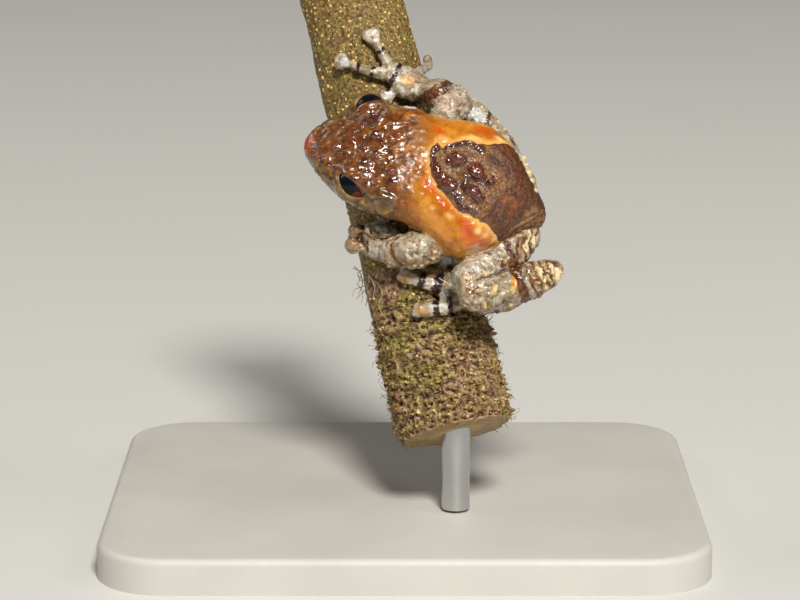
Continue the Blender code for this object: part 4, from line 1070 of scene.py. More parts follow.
def skin_finish(settings):
    """Wet skin: brown head, orange back with a brown saddle, silvery banded limbs."""
    finish = Finish("frog_skin", Specular_IOR_Level=0.5, Coat_Roughness=0.13, Coat_IOR=1.75)
    field, ramp, blend, painted = finish.field, finish.ramp, finish.blend, finish.painted
    clouds = finish.noise(2.2, 4.0)
    mottle = finish.noise(0.8, 4.0, 0.6)
    speckle = finish.noise(0.22, 3.0, 0.6)
    grit = finish.cells(0.16)
    ragged = (finish.noise(0.45, 4.0, 0.65) - 0.5) * 0.55

    # Head
    nose = field("along") * -1.0 + ragged * 2.0
    jaw = (field("jaw") + ragged * 1.2 + (clouds - 0.5)).between(1.6, 0.8)
    olive = ramp(mottle, (0.34, (64, 42, 14)), (0.5, (112, 82, 36)), (0.68, (150, 122, 62)))
    bump = field("head_warts") + ragged * 0.5
    bump_tone = ramp(bump, (0.2, (52, 16, 6)), (0.75, (110, 42, 12)))
    spots = field("spots") + ragged * 0.5
    drum = field("drum") + ragged * 0.7
    groove = (field("ear_fold") - 0.42).size()
    head = ramp(mottle, (0.30, (46, 20, 6)), (0.45, settings.head_colour),
                (0.60, (124, 72, 24)), (0.76, (162, 104, 42)))
    head = painted(
        head, (clouds, 0.50, 0.66, 0.4, (86, 40, 14)), (speckle, 0.50, 0.74, 0.5, (54, 22, 8)),
        (nose, 9.9, 11.4, 0.7, (190, 76, 32)), (jaw * 0.85, olive),
        (bump, 0.15, 0.45, 0.9, bump_tone), (spots, -0.05, 0.14, 0.9, (56, 18, 8)),
        (drum, 1.25, 0.95, 0.6, (122, 92, 46)), ((drum - 1.12).size(), 0.22, 0.02, 0.5, (66, 44, 20)),
        (drum, 0.85, 0.3, 0.8, (74, 50, 22)), (groove, 0.22, 0.02, jaw * 0.8, (52, 32, 14)))

    # Orange back and flanks
    brown = field("brown") + ragged * 1.6
    neck = brown.between(-4.4, -0.6)
    neck_tone = ramp(mottle, (0.34, (66, 34, 8)), (0.48, (124, 70, 18)), (0.66, (180, 110, 34)))
    neck_tone = painted(neck_tone, (speckle, 0.48, 0.60, 0.8, (72, 40, 14)))
    saddle = field("saddle") + ragged * 0.6
    red = field("red") + ragged * 0.9
    cream = field("cream") + ragged * 0.8
    flank = ramp(clouds, (0.30, (166, 90, 10)), (0.46, settings.flank_colour),
                 (0.58, (202, 134, 38)), (0.72, (220, 160, 64)))
    flank = painted(
        flank, (mottle, 0.46, 0.70, 0.6, (170, 90, 20)), (speckle, 0.54, 0.74, 0.5, (124, 60, 14)),
        (neck, neck_tone), (saddle, -0.8, -0.05, 0.5, (240, 190, 110)),
        (red, -0.45, 0.40, 0.92, (192, 80, 0)), (red - 0.25, 0.0, 0.5, 0.6, (160, 46, 0)),
        (cream, -0.30, 0.40, 0.7, (244, 206, 136)))

    # Saddle
    warts = field("warts") + ragged * 0.7
    tan = ramp(speckle, (0.36, (60, 30, 8)), (0.48, (120, 74, 30)), (0.62, (182, 130, 70)))
    wart_tone = ramp(warts, (0.02, (56, 20, 8)), (0.35, settings.wart_colour), (0.9, (104, 44, 16)))
    wart_tone = painted(wart_tone, (mottle, 0.48, 0.64, 0.4, (42, 14, 6)))
    leather = ramp(mottle, (0.30, (46, 22, 6)), (0.48, settings.saddle_colour), (0.70, (126, 78, 32)))
    leather = painted(
        leather, (clouds, 0.50, 0.66, 0.5, (100, 42, 14)), (speckle, 0.50, 0.64, 0.6, (56, 26, 10)),
        (speckle, 0.44, 0.32, 0.5, (176, 122, 72)), (warts, -1.0, -0.3, 0.85, tan),
        (grit, 0.25, 0.6, 0.4, (62, 32, 18)), (warts, -0.12, 0.05, 0.95, wart_tone))
    belly = blend(mottle.between(0.46, 0.56), (70, 52, 46), (160, 146, 132))
    under = field("above") + ragged

    # Limbs
    hide = (field("hide") + ragged * 1.2).between(0.0, 0.6)
    hide_tone = blend(mottle.between(0.36, 0.50), (160, 124, 82), settings.cream_colour)
    silver = ramp(mottle, (0.28, (92, 74, 48)), (0.46, settings.limb_colour), (0.68, (212, 206, 192)))
    silver = painted(
        silver, (clouds, 0.52, 0.72, 0.4, (170, 140, 100)), (grit, 0.30, 0.65, 0.35, (112, 90, 64)),
        (speckle, 0.58, 0.70, 0.4, (232, 224, 206)), (hide, hide_tone))
    in_limb = (field("limb") + ragged * 0.3).between(0.42, 0.58)
    tint = finish.shaded(field("tint", "Color"), speckle + 0.5)
    # Painted shade: creases darker brown, with a paler brown margin
    crease_shade = field("crease_shade") + ragged + (mottle - 0.5) * 1.6
    crease_shade_tone = blend(mottle.between(0.44, 0.58), (46, 24, 12), (104, 64, 28))
    bands = field("bands") + ragged * 1.6 + (mottle - 0.5) * 0.8
    brown_mark = ramp(mottle + (speckle - 0.5) * 0.5, (0.36, (44, 20, 8)), (0.50, (82, 44, 16)),
                      (0.66, (126, 78, 32)))
    brown_mark = painted(brown_mark, (bands, 0.16, 0.02, 0.8, (44, 20, 10)))
    dark_mark = blend(speckle.between(0.5, 0.7), (32, 14, 9), (84, 44, 26))
    band_tone = blend(field("digits").between(0.3, 0.6), brown_mark, dark_mark)
    tubercles = field("tubercles")
    warm = blend(field("warmth"), (206, 186, 142), (184, 122, 38))
    warm = painted(warm, (mottle, 0.44, 0.58, 0.7, (222, 200, 152)))
    palm = (field("palm_mark") + ragged * 0.4).between(-0.05, 0.12)
    palm_tone = ramp(speckle, (0.4, (206, 124, 66)), (0.6, (242, 190, 130)))

    # All of them, with painted shade in the limbs' hollows and creases, painted highlights among the
    # tints and on the tubercles' tips, a dark rim on the upper lid and a pale one on the lower lid
    rim = field("lids").between(0.24, 0.10)
    low_lid = field("lid_angle").between(0.0, -0.3)
    finish.set(Base_Color=painted(
        flank, (saddle.between(-0.06, 0.06), leather), (brown.between(-0.9, 0.9), head),
        (under.between(-1.2, -2.4), belly), (in_limb, silver),
        # The tints, a few of them painted highlights and one painted shade
        (field("tint", "Alpha") * (mottle + 0.5), tint),
        # Painted shade: the limbs darker in their hollows
        (field("hollow"), 0.004, 0.022, in_limb * 0.7, (72, 44, 22)),
        (crease_shade, -0.4, 0.2, 0.55, (150, 110, 62)), (crease_shade, 0.25, 0.70, 0.9, crease_shade_tone),
        (bands, -0.05, 0.10, in_limb, band_tone), ((tubercles + ragged * 0.6).between(0.02, 0.50), warm),
        # Tubercles paler at their tips, partly their own colour and partly a painted highlight
        (tubercles, 0.45, 0.90, 0.6, (232, 198, 132)), (palm, palm_tone),
        (rim * (1.0 - low_lid) * 0.7, (62, 28, 12)), (rim * low_lid * 0.85, (140, 116, 62))))

    wet = finish.noise(1.4, 3.0)
    dry = saddle.between(0.0, 0.2) * warts.between(0.10, -0.10)
    napped = brown.between(0.6, -0.6) * (1.0 - dry) * saddle.between(0.05, -0.05)
    rough = wet.between(0.35, 0.65) * 0.08 + 0.15 + in_limb * 0.09 + dry * 0.22
    bare = (dry * 0.85 + napped * (neck * 0.4 + 0.45)).least(1.0)
    shine = (1.0 - bare) * (1.0 - in_limb) * (1.0 - jaw * 0.6) + in_limb * wet.between(0.45, 0.65) * 0.35
    grainy = finish.bump((speckle * 0.8 + grit * 0.6) * (dry * 2.0 + 1.0), 0.030)
    finish.set(Roughness=rough + napped * neck * 0.18, Coat_Weight=shine * wet.between(0.25, 0.55) * 0.9,
               Normal=finish.bump(finish.noise(0.55, 3.0, 0.5), 0.05, under=grainy))
    return finish


# Eyes

class FrogEyeSettings(bpy.types.PropertyGroup):
    iris_colour: FloatVectorProperty(
        name="Iris", description="Dark brown of the iris", subtype="COLOR",
        default=shown(34, 16, 10))
    patch_colour: FloatVectorProperty(
        name="Iris patch", description="Red-brown patch behind the pupil", subtype="COLOR",
        default=shown(96, 40, 22))
    # Black of the pupil with a painted blue reflection in it
    pupil_and_sheen_colour: FloatVectorProperty(
        name="Pupil", description="Blue-black of the pupil", subtype="COLOR",
        default=shown(9, 15, 24))


def eye_finish(settings):
    """A wet, near-black eye with a wide pupil and a red-brown patch behind it."""
    finish = Finish("frog_eye", roughness=0.05, Specular_IOR_Level=0.2)
    along = finish.field("eye_along")
    angle = finish.field("eye_angle")
    threads = finish.noise(0.16, 4.0, 0.7)
    iris = finish.ramp(threads, (0.35, (10, 6, 5)), (0.52, settings.iris_colour),
                       (0.72, (52, 24, 14)))
    off_centre = ((along - 0.70) * 2.6).power(2.0) + ((angle + 0.10) * 2.4).power(2.0)
    patch = (off_centre + (threads - 0.5) * 0.6).between(0.85, 0.25)
    iris = finish.blend(patch * 0.9, iris, settings.patch_colour)
    reach = ((along + 0.17) * 1.75).power(2.0) + (angle * 2.7).power(2.0)
    pupil = (reach + (threads - 0.5) * 0.1).between(1.0, 0.84)
    # The pupil: black with a painted blue reflection
    finish.set(Base_Color=finish.blend(pupil, iris, settings.pupil_and_sheen_colour))
    return finish


class OBJECT_OT_frog_eyes(bpy.types.Operator):
    """Make the frog's two polished eyes"""
    bl_idname = "object.frog_eyes"
    bl_label = "Frog Eyes"

    def execute(self, context):
        finish = eye_finish(context.scene.frog_eyes)
        for side in ("left", "right"):
            facts = Eye(side)
            eye = plain_shape("frog_eye_" + side, bpy.ops.mesh.primitive_uv_sphere_add, segments=72,
                              ring_count=36, radius=facts.RADIUS * MM, location=facts.centre * MM)
            bpy.ops.object.shade_smooth()
            surface = Surface(eye)
            along, angle, _ = facts.places(surface.points)
            surface.keep("eye_along", along)
            surface.keep("eye_angle", angle)
            finish_piece(eye, finish, "eye", "eye_" + side)
        return {"FINISHED"}


# The stem that the frog grips

STEM_RADIUS = 6.25
STEM_TAPER = 0.006
STEM_LEAN = math.radians(13.1)
STEM_DEPTH = 10.9
STEM_BELOW = 28.0
STEM_ABOVE = 34.0
STEM_ALONG = TIP @ np.array((-math.sin(STEM_LEAN), 0.0, math.cos(STEM_LEAN)))
STEM_ACROSS = TIP @ np.array((math.cos(STEM_LEAN), 0.0, math.sin(STEM_LEAN)))
STEM_FRONT = TIP @ np.array((0.0, -1.0, 0.0))
STEM_MIDDLE = TIP @ np.array((0.0, STEM_DEPTH, 0.0)) + PICTURE_MIDDLE
BARK_SIDES = 276
BARK_CUTS = (24, 11)            # each of these cuts the stem's length again
BARK_RADIUS = 6.2               # turns angles round the stem into lengths on its bark
PORE_CELL = 0.8                 # cells in which a pore's neighbours are looked for
CRUMB_COUNT = 8000              # crumbs and hairs together
MOSS_DENSITY = 90               # tufts in a patch that measures 1 by 1

# Where the picture shows moss and hair roots on the stem: x, y, half length, half width, turn
MOSS = (
    (414, 464, 1.9, 1.3, 10), (470, 499, 4.4, 0.8, -8), (400, 520, 2.6, 1.6, 20),
    (430, 560, 3.0, 1.6, 0), (372, 470, 0.8, 1.2, 20),
)
LEAF_SCAR = (297, 15, 0.85, 0.50, 62)
BARK_LUMP = (358, 416)
ROOTLETS = (
    ((359, 420), (350, 424), (340, 421)), ((358, 432), (349, 436), (346, 430), (351, 425)),
    ((360, 442), (350, 446), (342, 449), (339, 459)), ((359, 447), (350, 455), (343, 462)),
    ((357, 425), (351, 431), (347, 440)), ((362, 412), (356, 416), (352, 423)),
    ((341, 418), (350, 428), (352, 442), (347, 455)), ((346, 430), (357, 441), (360, 455), (356, 470)),
    ((352, 424), (362, 432), (368, 446), (366, 462)), ((344, 440), (352, 452), (351, 466)),
    ((358, 420), (361, 436), (355, 450)), ((372, 440), (378, 455), (374, 470), (380, 484)),
)


class StemSettings(bpy.types.PropertyGroup):
    grain_height: FloatProperty(
        name="Grain height", description="Depth of the grain along the bark",
        default=0.11 * MM, min=0.0, unit="LENGTH")
    lenticel_count: IntProperty(
        name="Lenticels", description="Number of pale pores on the bark", default=1900, min=1)
    bark_colour: FloatVectorProperty(
        name="Bark", description="Olive brown of the bark", subtype="COLOR",
        default=shown(140, 112, 58))
    lenticel_colour: FloatVectorProperty(
        name="Pores", description="Straw colour of the pores", subtype="COLOR",
        default=shown(222, 188, 112))
    moss_colour: FloatVectorProperty(
        name="Moss", description="Green of the moss", subtype="COLOR",
        default=shown(138, 132, 50))


def stem_places(points):
    """Height along the stem, angle round it and distance from its axis, for each point."""
    offset = points - STEM_MIDDLE
    height = offset @ STEM_ALONG
    across, front = offset @ STEM_ACROSS, offset @ STEM_FRONT
    return height, np.arctan2(across, front), np.hypot(across, front)


def on_stem(height, angle, radius):
    """The points at heights, angles and distances from the stem's axis."""
    aside = np.outer(np.sin(angle), STEM_ACROSS) + np.outer(np.cos(angle), STEM_FRONT)
    return STEM_MIDDLE + np.outer(height, STEM_ALONG) + aside * np.asarray(radius).reshape(-1, 1)


def strewn(name, template, copies):
    """One mesh in place of a template, with a copy of it for each place, direction and size."""
    shape = np.array([vert.co for vert in template.data.vertices])
    faces = [tuple(face.vertices) for face in template.data.polygons]
    verts, made = [], []
    for place, outward, size in copies:
        turn = np.array(Vector(outward).to_track_quat("Z", "Y").to_matrix())
        start = len(verts)
        verts += [tuple(point) for point in ((shape * size) @ turn.T + place) * MM]
        made += [tuple(start + index for index in face) for face in faces]
    bpy.data.objects.remove(template, do_unlink=True)
    mesh = bpy.data.meshes.new(name)
    mesh.from_pydata(verts, [], made)
    mesh.update()
    piece = new_piece(name, mesh)
    activate(piece)
    bpy.ops.object.shade_smooth()
    return piece


def bark_spot(bark, height, angle):
    """The point and normal of the bark at a height and an angle of the stem."""
    outside, axis = on_stem([height, height], [angle, angle], [9.0, 0.0])
    spot, normal, _, _ = bark.tree.ray_cast(Vector(outside * MM), Vector(axis - outside))
    if spot is None:
        raise ValueError("the bark has a hole at height %g" % height)
    return np.array(spot) / MM, np.array(normal)


def scatter(draw, spread):
    """A random direction and length, drawn one axis after another."""
    return np.array([draw.gauss(0, spread) for _ in range(3)])


def strand_curve(name, radius, rounds, steps):
    """An empty curve with a round section."""
    curve = bpy.data.curves.new(name, "CURVE")
    curve.dimensions = "3D"
    curve.bevel_depth = radius * MM
    curve.bevel_resolution = rounds
    curve.resolution_u = steps
    return curve


def finish_strands(curve, *look):
    """Makes a piece of the stem from a curve, in two tones."""
    activate(new_piece(curve.name, curve))
    bpy.ops.object.convert(target="MESH")
    bpy.ops.object.shade_smooth()
    finish_piece(bpy.context.object, plain_finish(curve.name, *look), "bark")


def bark_finish(settings):
    """Grained olive-brown bark, rougher and crusted towards the foot, with moss and a scar, painted shade
    in its hollows and painted light on its crests.
    """
    finish = Finish("stem_bark", Specular_IOR_Level=0.35)
    fibres = finish.noise(1.0, 5.0, 0.65, place=finish.stretched(
        (0.0, STEM_LEAN, 0.0), (2.6, 2.6, 0.35)))
    clouds = finish.noise(3.0, 4.0, 0.6)
    patches = finish.noise(0.9, 4.0, 0.65)
    speckle = finish.noise(0.28, 4.0, 0.7)
    height = finish.field("stem_height")
    rough = finish.ramp(patches, (0.32, (60, 36, 28)), (0.42, (118, 82, 66)),
                        (0.54, (152, 116, 92)), (0.68, (200, 172, 134)))
    rough = finish.painted(rough, (speckle, 0.52, 0.66, 0.6, (44, 28, 20)))
    low = (height + (clouds - 0.5) * 9.0).between(-7.0, -9.5)
    crust = (height + (patches - 0.5) * 6.0).between(-11.5, -15.0)
    moss = finish.field("moss") + (patches - 0.5) * 4.0 + (speckle - 0.5) * 2.0
    pit = finish.field("pit")
    scar = finish.field("scar") + (speckle - 0.5) * 0.6
    wood = finish.ramp(finish.cells(0.35), (0.1, (206, 180, 132)), (0.6, (176, 146, 98)))
    bark = finish.ramp(fibres, (0.30, (66, 48, 22)), (0.45, (108, 84, 42)),
                       (0.58, settings.bark_colour), (0.76, (174, 150, 88)))
    bark = finish.painted(
        bark, (clouds, 0.47, 0.62, 0.55, (112, 108, 40)), (patches, 0.54, 0.66, 0.55, (122, 74, 42)),
        (patches, 0.44, 0.34, 0.6, (150, 138, 58)), (speckle, 0.50, 0.62, 0.7, (58, 40, 18)),
        (speckle, 0.46, 0.36, 0.5, (186, 168, 96)), (low, rough),
        (clouds, 0.46, 0.60, crust * 0.6, (134, 120, 56)),
        # Painted shade in the bark's hollows and painted light on its crests
        (moss, -0.5, 0.6, 0.75, settings.moss_colour), (pit, 0.002, 0.030, 0.85, (34, 22, 12)),
        (pit, -0.006, -0.04, 0.4, (196, 168, 112)), (scar.between(-0.22, -0.05), (36, 22, 12)),
        (scar.between(0.0, 0.12), (214, 176, 116)), (finish.field("cut_end").between(0.4, 0.6), wood))
    finish.set(Base_Color=bark, Roughness=fibres.between(0.3, 0.7) * 0.25 + 0.42,
               Normal=finish.bump(speckle, 0.10, under=finish.bump(fibres, 0.22)))
    return finish


def pore_finish(settings):
    """Straw-coloured pores, lighter in patches."""
    finish = Finish("stem_pores", Specular_IOR_Level=0.3)
    speckle = finish.noise(0.35, 3.0, 0.6)
    colour = finish.ramp(speckle, (0.3, (176, 128, 60)), (0.5, settings.lenticel_colour),
                         (0.7, (242, 216, 150)))
    finish.set(Base_Color=colour, Roughness=speckle * 0.3 + 0.45,
               Normal=finish.bump(finish.noise(0.12, 2.0), 0.05))
    return finish


def plain_finish(name, dark, light, size, roughness):
    """Two tones of one colour, matt."""
    finish = Finish(name, Specular_IOR_Level=0.3)
    cloud = finish.noise(size, 4.0, 0.6)
    finish.set(Base_Color=finish.ramp(cloud, (0.32, dark), (0.68, light)),
               Roughness=cloud * 0.2 + roughness)
    return finish


class OBJECT_OT_stem_bark(bpy.types.Operator):
    """Make the cut length of stem with its grain and cut ends"""
    bl_idname = "object.stem_bark"
    bl_label = "Stem Bark"

    def execute(self, context):
        settings = context.scene.frog_stem
        length = STEM_BELOW + STEM_ABOVE
        middle = STEM_MIDDLE + STEM_ALONG * (STEM_ABOVE - STEM_BELOW) / 2.0
        turn = np.stack([STEM_ACROSS, np.cross(STEM_ALONG, STEM_ACROSS), STEM_ALONG], 1)
        stem = plain_shape(
            "stem_bark", bpy.ops.mesh.primitive_cone_add, vertices=BARK_SIDES, radius1=STEM_RADIUS * MM,
            radius2=STEM_RADIUS * MM, depth=length * MM, end_fill_type="TRIFAN",
            location=middle * MM, rotation=Matrix(turn).to_euler())

        # Only the long edges are cut into steps
        bpy.ops.object.mode_set(mode="EDIT")
        bpy.ops.mesh.select_mode(type="EDGE")
        for cuts in BARK_CUTS:
            pick_edges(stem, lambda start, end: abs((start - end).dot(STEM_ALONG)) > 0.5)
            bpy.ops.mesh.subdivide(number_cuts=cuts)
        bpy.ops.object.mode_set(mode="OBJECT")
        bpy.ops.object.shade_smooth()

        surface = Surface(stem)
        height, angle, radius = stem_places(surface.points)
        side = radius > 1.0
        waves, grain, fine = Lattice(21), Lattice(22), Lattice(23)
        place = np.stack([np.cos(angle) * 6.0, np.sin(angle) * 6.0, height], 1)
        long_place = place * np.array((1.0, 1.0, 0.16))
        low = smooth_step(-6.0, -11.0, height)
        relief = 0.16 * waves(place, 3.4) + settings.grain_height / MM * grain(long_place, 0.75)
        relief += (0.07 + 0.06 * low) * fine(place, 0.42) + 0.04 * grain(place, 0.25)
        crust = smooth_step(-9.5, -14.5, height + 3.4 * waves(place, 3.6))
        relief += crust * (0.34 * (1.0 - 2.0 * np.abs(grain(place, 1.1))) + 0.24 * fine(place, 0.45))
        relief += crust * 0.20 * (0.5 - 2.0 * np.abs(waves(place * 1.7, 1.0)))
        far = np.linalg.norm(surface.points - stem_point(*BARK_LUMP), axis=1)
        relief += 0.25 * smooth_step(2.6, 0.2, far)
        ends = smooth_step(0.0, 0.9, np.minimum(height + STEM_BELOW, STEM_ABOVE - height))
        outer = STEM_RADIUS - STEM_TAPER * height - 0.12 + relief - 0.35 * (1.0 - ends)
        radius = np.where(side, outer, radius)
        surface.points = on_stem(height, angle, radius)
        surface.refresh()
        surface.keep("stem_height", height)
        surface.keep("cut_end", np.where(side, 0.0, 1.0))
        # Depth of each hollow, by which the bark is painted darker as shade in hollows and lighter as
        # light on crests
        surface.keep("pit", surface.bend())
        surface.aim()
        surface.keep("moss", marked(surface, MOSS))
        surface.keep("scar", oval(surface, *LEAF_SCAR))
        finish_piece(stem, bark_finish(settings), "bark", "perch_stem")
        return {"FINISHED"}


def stem_point(x, y):
    """The point of the stem's smooth side that the picture shows at a pixel."""
    start, direction = picture_ray(x, y)
    offset = start - STEM_MIDDLE
    flat = offset - STEM_ALONG * (offset @ STEM_ALONG)
    run = direction - STEM_ALONG * (direction @ STEM_ALONG)
    a, b, c = run @ run, flat @ run, flat @ flat - STEM_RADIUS ** 2
    root = max(b * b - a * c, 0.0) ** 0.5
    return start + direction * (-b - root) / a


class OBJECT_OT_stem_pores(bpy.types.Operator):
    """Strew pale pores over the bark"""
    bl_idname = "object.stem_pores"
    bl_label = "Stem Pores"

    def execute(self, context):
        settings = context.scene.frog_stem
        draw = random.Random(31)
        bark = Surface(bpy.data.objects["stem_bark"])
        bark.aim()
        pore = plain_shape("pore", bpy.ops.mesh.primitive_uv_sphere_add, (1.0, 1.0, 0.5),
                           segments=9, ring_count=6, radius=1.0)
        kept, copies = {}, []
        for _ in range(settings.lenticel_count * 3):
            if len(copies) == settings.lenticel_count:
                break
            height = draw.uniform(-STEM_BELOW + 0.6, STEM_ABOVE - 0.6)
            angle = draw.uniform(-math.pi, math.pi)
            size = 0.07 + 0.15 * draw.random() ** 1.7
            if draw.random() < 0.05:
                size = draw.uniform(0.22, 0.32)
            if height < -8.0 and draw.random() < (-8.0 - height) / 6.0:
                continue
            cell = (int(height / PORE_CELL), int(angle * BARK_RADIUS / PORE_CELL))
            near = [spot for i in (-1, 0, 1) for j in (-1, 0, 1)
                    for spot in kept.get((cell[0] + i, cell[1] + j), ())]
            if any(math.hypot(h - height, (a - angle) * BARK_RADIUS) < size + s + 0.12
                   for h, a, s in near):
                continue
            kept.setdefault(cell, []).append((height, angle, size))
            spot, normal = bark_spot(bark, height, angle)
            stretch = draw.uniform(0.8, 1.35)
            copies.append((spot - normal * 0.02, normal, (size * stretch, size / stretch, size * 0.9)))
        pores = strewn("stem_pores", pore, copies)
        finish_piece(pores, pore_finish(settings), "bark")
        return {"FINISHED"}


class OBJECT_OT_stem_growth(bpy.types.Operator):
    """Grow moss tufts, crumbs, hair roots and rootlets on the lower bark"""
    bl_idname = "object.stem_growth"
    bl_label = "Moss and Hair Roots"

    def execute(self, context):
        settings = context.scene.frog_stem
        draw = random.Random(41)
        waves = Lattice(24)
        bark = Surface(bpy.data.objects["stem_bark"])
        bark.aim()

        # Moss
        blade = plain_shape("blade", bpy.ops.mesh.primitive_cone_add, vertices=4, radius1=0.10,
                            radius2=0.02, depth=1.0, location=(0.0, 0.0, 0.4))
        copies = []
        for x, y, half_length, half_width, turn in MOSS:
            height, angle, _ = (value[0] for value in stem_places(stem_point(x, y)[None]))
            lean = math.radians(turn)
            for _ in range(int(MOSS_DENSITY * half_length * half_width)):
                reach, way = draw.random() ** 0.5, draw.uniform(0, 2 * math.pi)
                out, up = reach * math.cos(way) * half_length, reach * math.sin(way) * half_width
                h = height + out * math.sin(lean) + up * math.cos(lean)
                a = angle + (out * math.cos(lean) - up * math.sin(lean)) / BARK_RADIUS
                spot, normal = bark_spot(bark, h, a)
                if waves(spot[None], 0.9)[0] >= -0.1:
                    outward = normal + scatter(draw, 0.7)
                    copies.append((spot, outward, (0.6, 0.6, draw.uniform(0.10, 0.26))))
        moss = strewn("stem_moss", blade, copies)
        green = plain_finish("stem_moss", (78, 70, 26), settings.moss_colour, 0.4, 0.6)
        finish_piece(moss, green, "bark")

        # Crumbs and hairs of the rough bark at the foot
        crumb = plain_shape("crumb", bpy.ops.mesh.primitive_ico_sphere_add, subdivisions=1, radius=1.0)
        copies = []
        hairs = strand_curve("stem_hairs", 0.028, 0, 4)
        for number in range(CRUMB_COUNT):
            height = draw.uniform(-STEM_BELOW + 0.3, -9.5)
            angle = draw.uniform(-math.pi, math.pi)
            start = -14.5 + 2.2 * math.sin(2.0 * angle + 0.8) + 1.2 * math.sin(5.0 * angle)
            if height > start and draw.random() < (height - start) / 4.0:
                continue
            spot, normal = bark_spot(bark, height, angle)
            if number % 5:
                outward = normal + scatter(draw, 0.6)
                size = 0.07 + 0.36 * draw.random() ** 2.2
                copies.append((spot, outward, (
                    size * draw.uniform(0.8, 2.2), size * 0.7, size * draw.uniform(0.2, 0.6))))
            else:
                spline = hairs.splines.new("POLY")
                spline.points.add(3)
                way = scatter(draw, 1.0)
                way -= normal * (way @ normal)
                way /= np.linalg.norm(way)
                length, lift = draw.uniform(0.5, 1.6), draw.uniform(0.05, 0.5)
                for step, point in enumerate(spline.points):
                    share = step / 3.0
                    bow = math.sin(share * math.pi * draw.uniform(0.5, 0.9))
                    place = spot + way * length * share + normal * (lift * bow + 0.02)
                    point.co = (*(place * MM), 1.0)
        crumbs = strewn("stem_crumbs", crumb, copies)
        finish = Finish("stem_crumbs", roughness=0.7, Specular_IOR_Level=0.25)
        finish.set(Base_Color=finish.ramp(
            finish.noise(0.60, 3.0, 0.7), (0.30, (34, 22, 16)), (0.40, (104, 68, 50)),
            (0.47, (140, 102, 76)), (0.52, (120, 112, 46)), (0.58, (160, 138, 78)),
            (0.68, (226, 204, 162))))
        finish_piece(crumbs, finish, "bark")
        finish_strands(hairs, (74, 56, 34), (176, 150, 104), 0.6, 0.6)

        # Rootlets
        line = strand_curve("stem_rootlets", 0.045, 1, 8)
        line.use_fill_caps = True
        for route in ROOTLETS:
            spline = line.splines.new("BEZIER")
            spline.bezier_points.add(len(route) - 1)
            for knot, (x, y) in zip(spline.bezier_points, route):
                height, angle, radius = (value[0] for value in stem_places(stem_point(x, y)[None]))
                knot.co = on_stem([height], [angle], [max(radius + 0.1, 6.42)])[0] * MM
                knot.handle_left_type = knot.handle_right_type = "AUTO"
        finish_strands(line, (112, 88, 64), (214, 192, 156), 0.5, 0.5)
        return {"FINISHED"}


# The stand

class StandSettings(bpy.types.PropertyGroup):
    corner: FloatProperty(
        name="Corner radius", description="Radius of the plate's corners",
        default=8.0 * MM, min=0.0, unit="LENGTH")
    edge: FloatProperty(
        name="Edge radius", description="Rounding along the plate's upper rim",
        default=0.8 * MM, min=0.0, unit="LENGTH")
    plate_colour: FloatVectorProperty(
        name="Plate", description="Warm grey of the plate", subtype="COLOR",
        default=shown(196, 193, 186))


def plate_finish(settings):
    """Fine-textured powder coating."""
    finish = Finish("stand_plate", Specular_IOR_Level=0.4)
    grain = finish.noise(0.35, 2.0)
    light = Color(settings.plate_colour)
    finish.set(Base_Color=finish.ramp(finish.noise(14.0, 2.0), (0.35, light * 0.93), (0.65, light)),
               Roughness=grain * 0.12 + 0.45, Normal=finish.bump(grain, 0.03))
    return finish


def steel_finish():
    """Steel brushed round the rod."""
    finish = Finish("stand_steel", Metallic=1.0)
    brushed = finish.noise(0.3, 3.0, 0.6, place=finish.stretched((0.0, 0.0, 0.0), (0.1, 0.1, 9.0)))
    finish.set(Base_Color=finish.ramp(brushed, (0.3, (186, 188, 190)), (0.7, (202, 204, 206))),
               Roughness=brushed * 0.1 + 0.27, Normal=finish.bump(brushed, 0.002))
    return finish


class OBJECT_OT_frog_stand(bpy.types.Operator):
    """Make the plain display stand: a rounded plate and one short rod"""
    bl_idname = "object.frog_stand"
    bl_label = "Stand"

    def execute(self, context):
        settings = context.scene.frog_stand
        low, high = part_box("stand_base")
        plate = plain_shape("stand_plate", bpy.ops.mesh.primitive_cube_add, high - low, size=1.0,
                            location=(low + high) / 2.0)
        bpy.ops.object.mode_set(mode="EDIT")
        bpy.ops.mesh.select_mode(type="EDGE")
        pick_edges(plate, lambda start, end: abs(start.z - end.z) > 1.0)
        bpy.ops.mesh.bevel(offset=settings.corner, segments=14)
        rim = high.z / MM - 0.01
        pick_edges(plate, lambda start, end: min(start.z, end.z) > rim)
        bpy.ops.mesh.bevel(offset=settings.edge, segments=5)
        bpy.ops.object.mode_set(mode="OBJECT")
        bpy.ops.object.shade_smooth_by_angle(angle=math.radians(35))
        finish_piece(plate, plate_finish(settings), "stand_plate", "stand_base")

        low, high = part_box("stand_rod")
        rod = plain_shape("stand_post", bpy.ops.mesh.primitive_cylinder_add, vertices=64,
                          radius=(high.x - low.x) / 2.0, depth=high.z - low.z,
                          location=(low + high) / 2.0)
        apply_modifier(rod, "BEVEL", width=0.12 * MM, segments=2, limit_method="ANGLE")
        bpy.ops.object.shade_smooth_by_angle(angle=math.radians(35))
        finish_piece(rod, steel_finish(), "stand_steel", "stand_rod")
        return {"FINISHED"}


# The stage

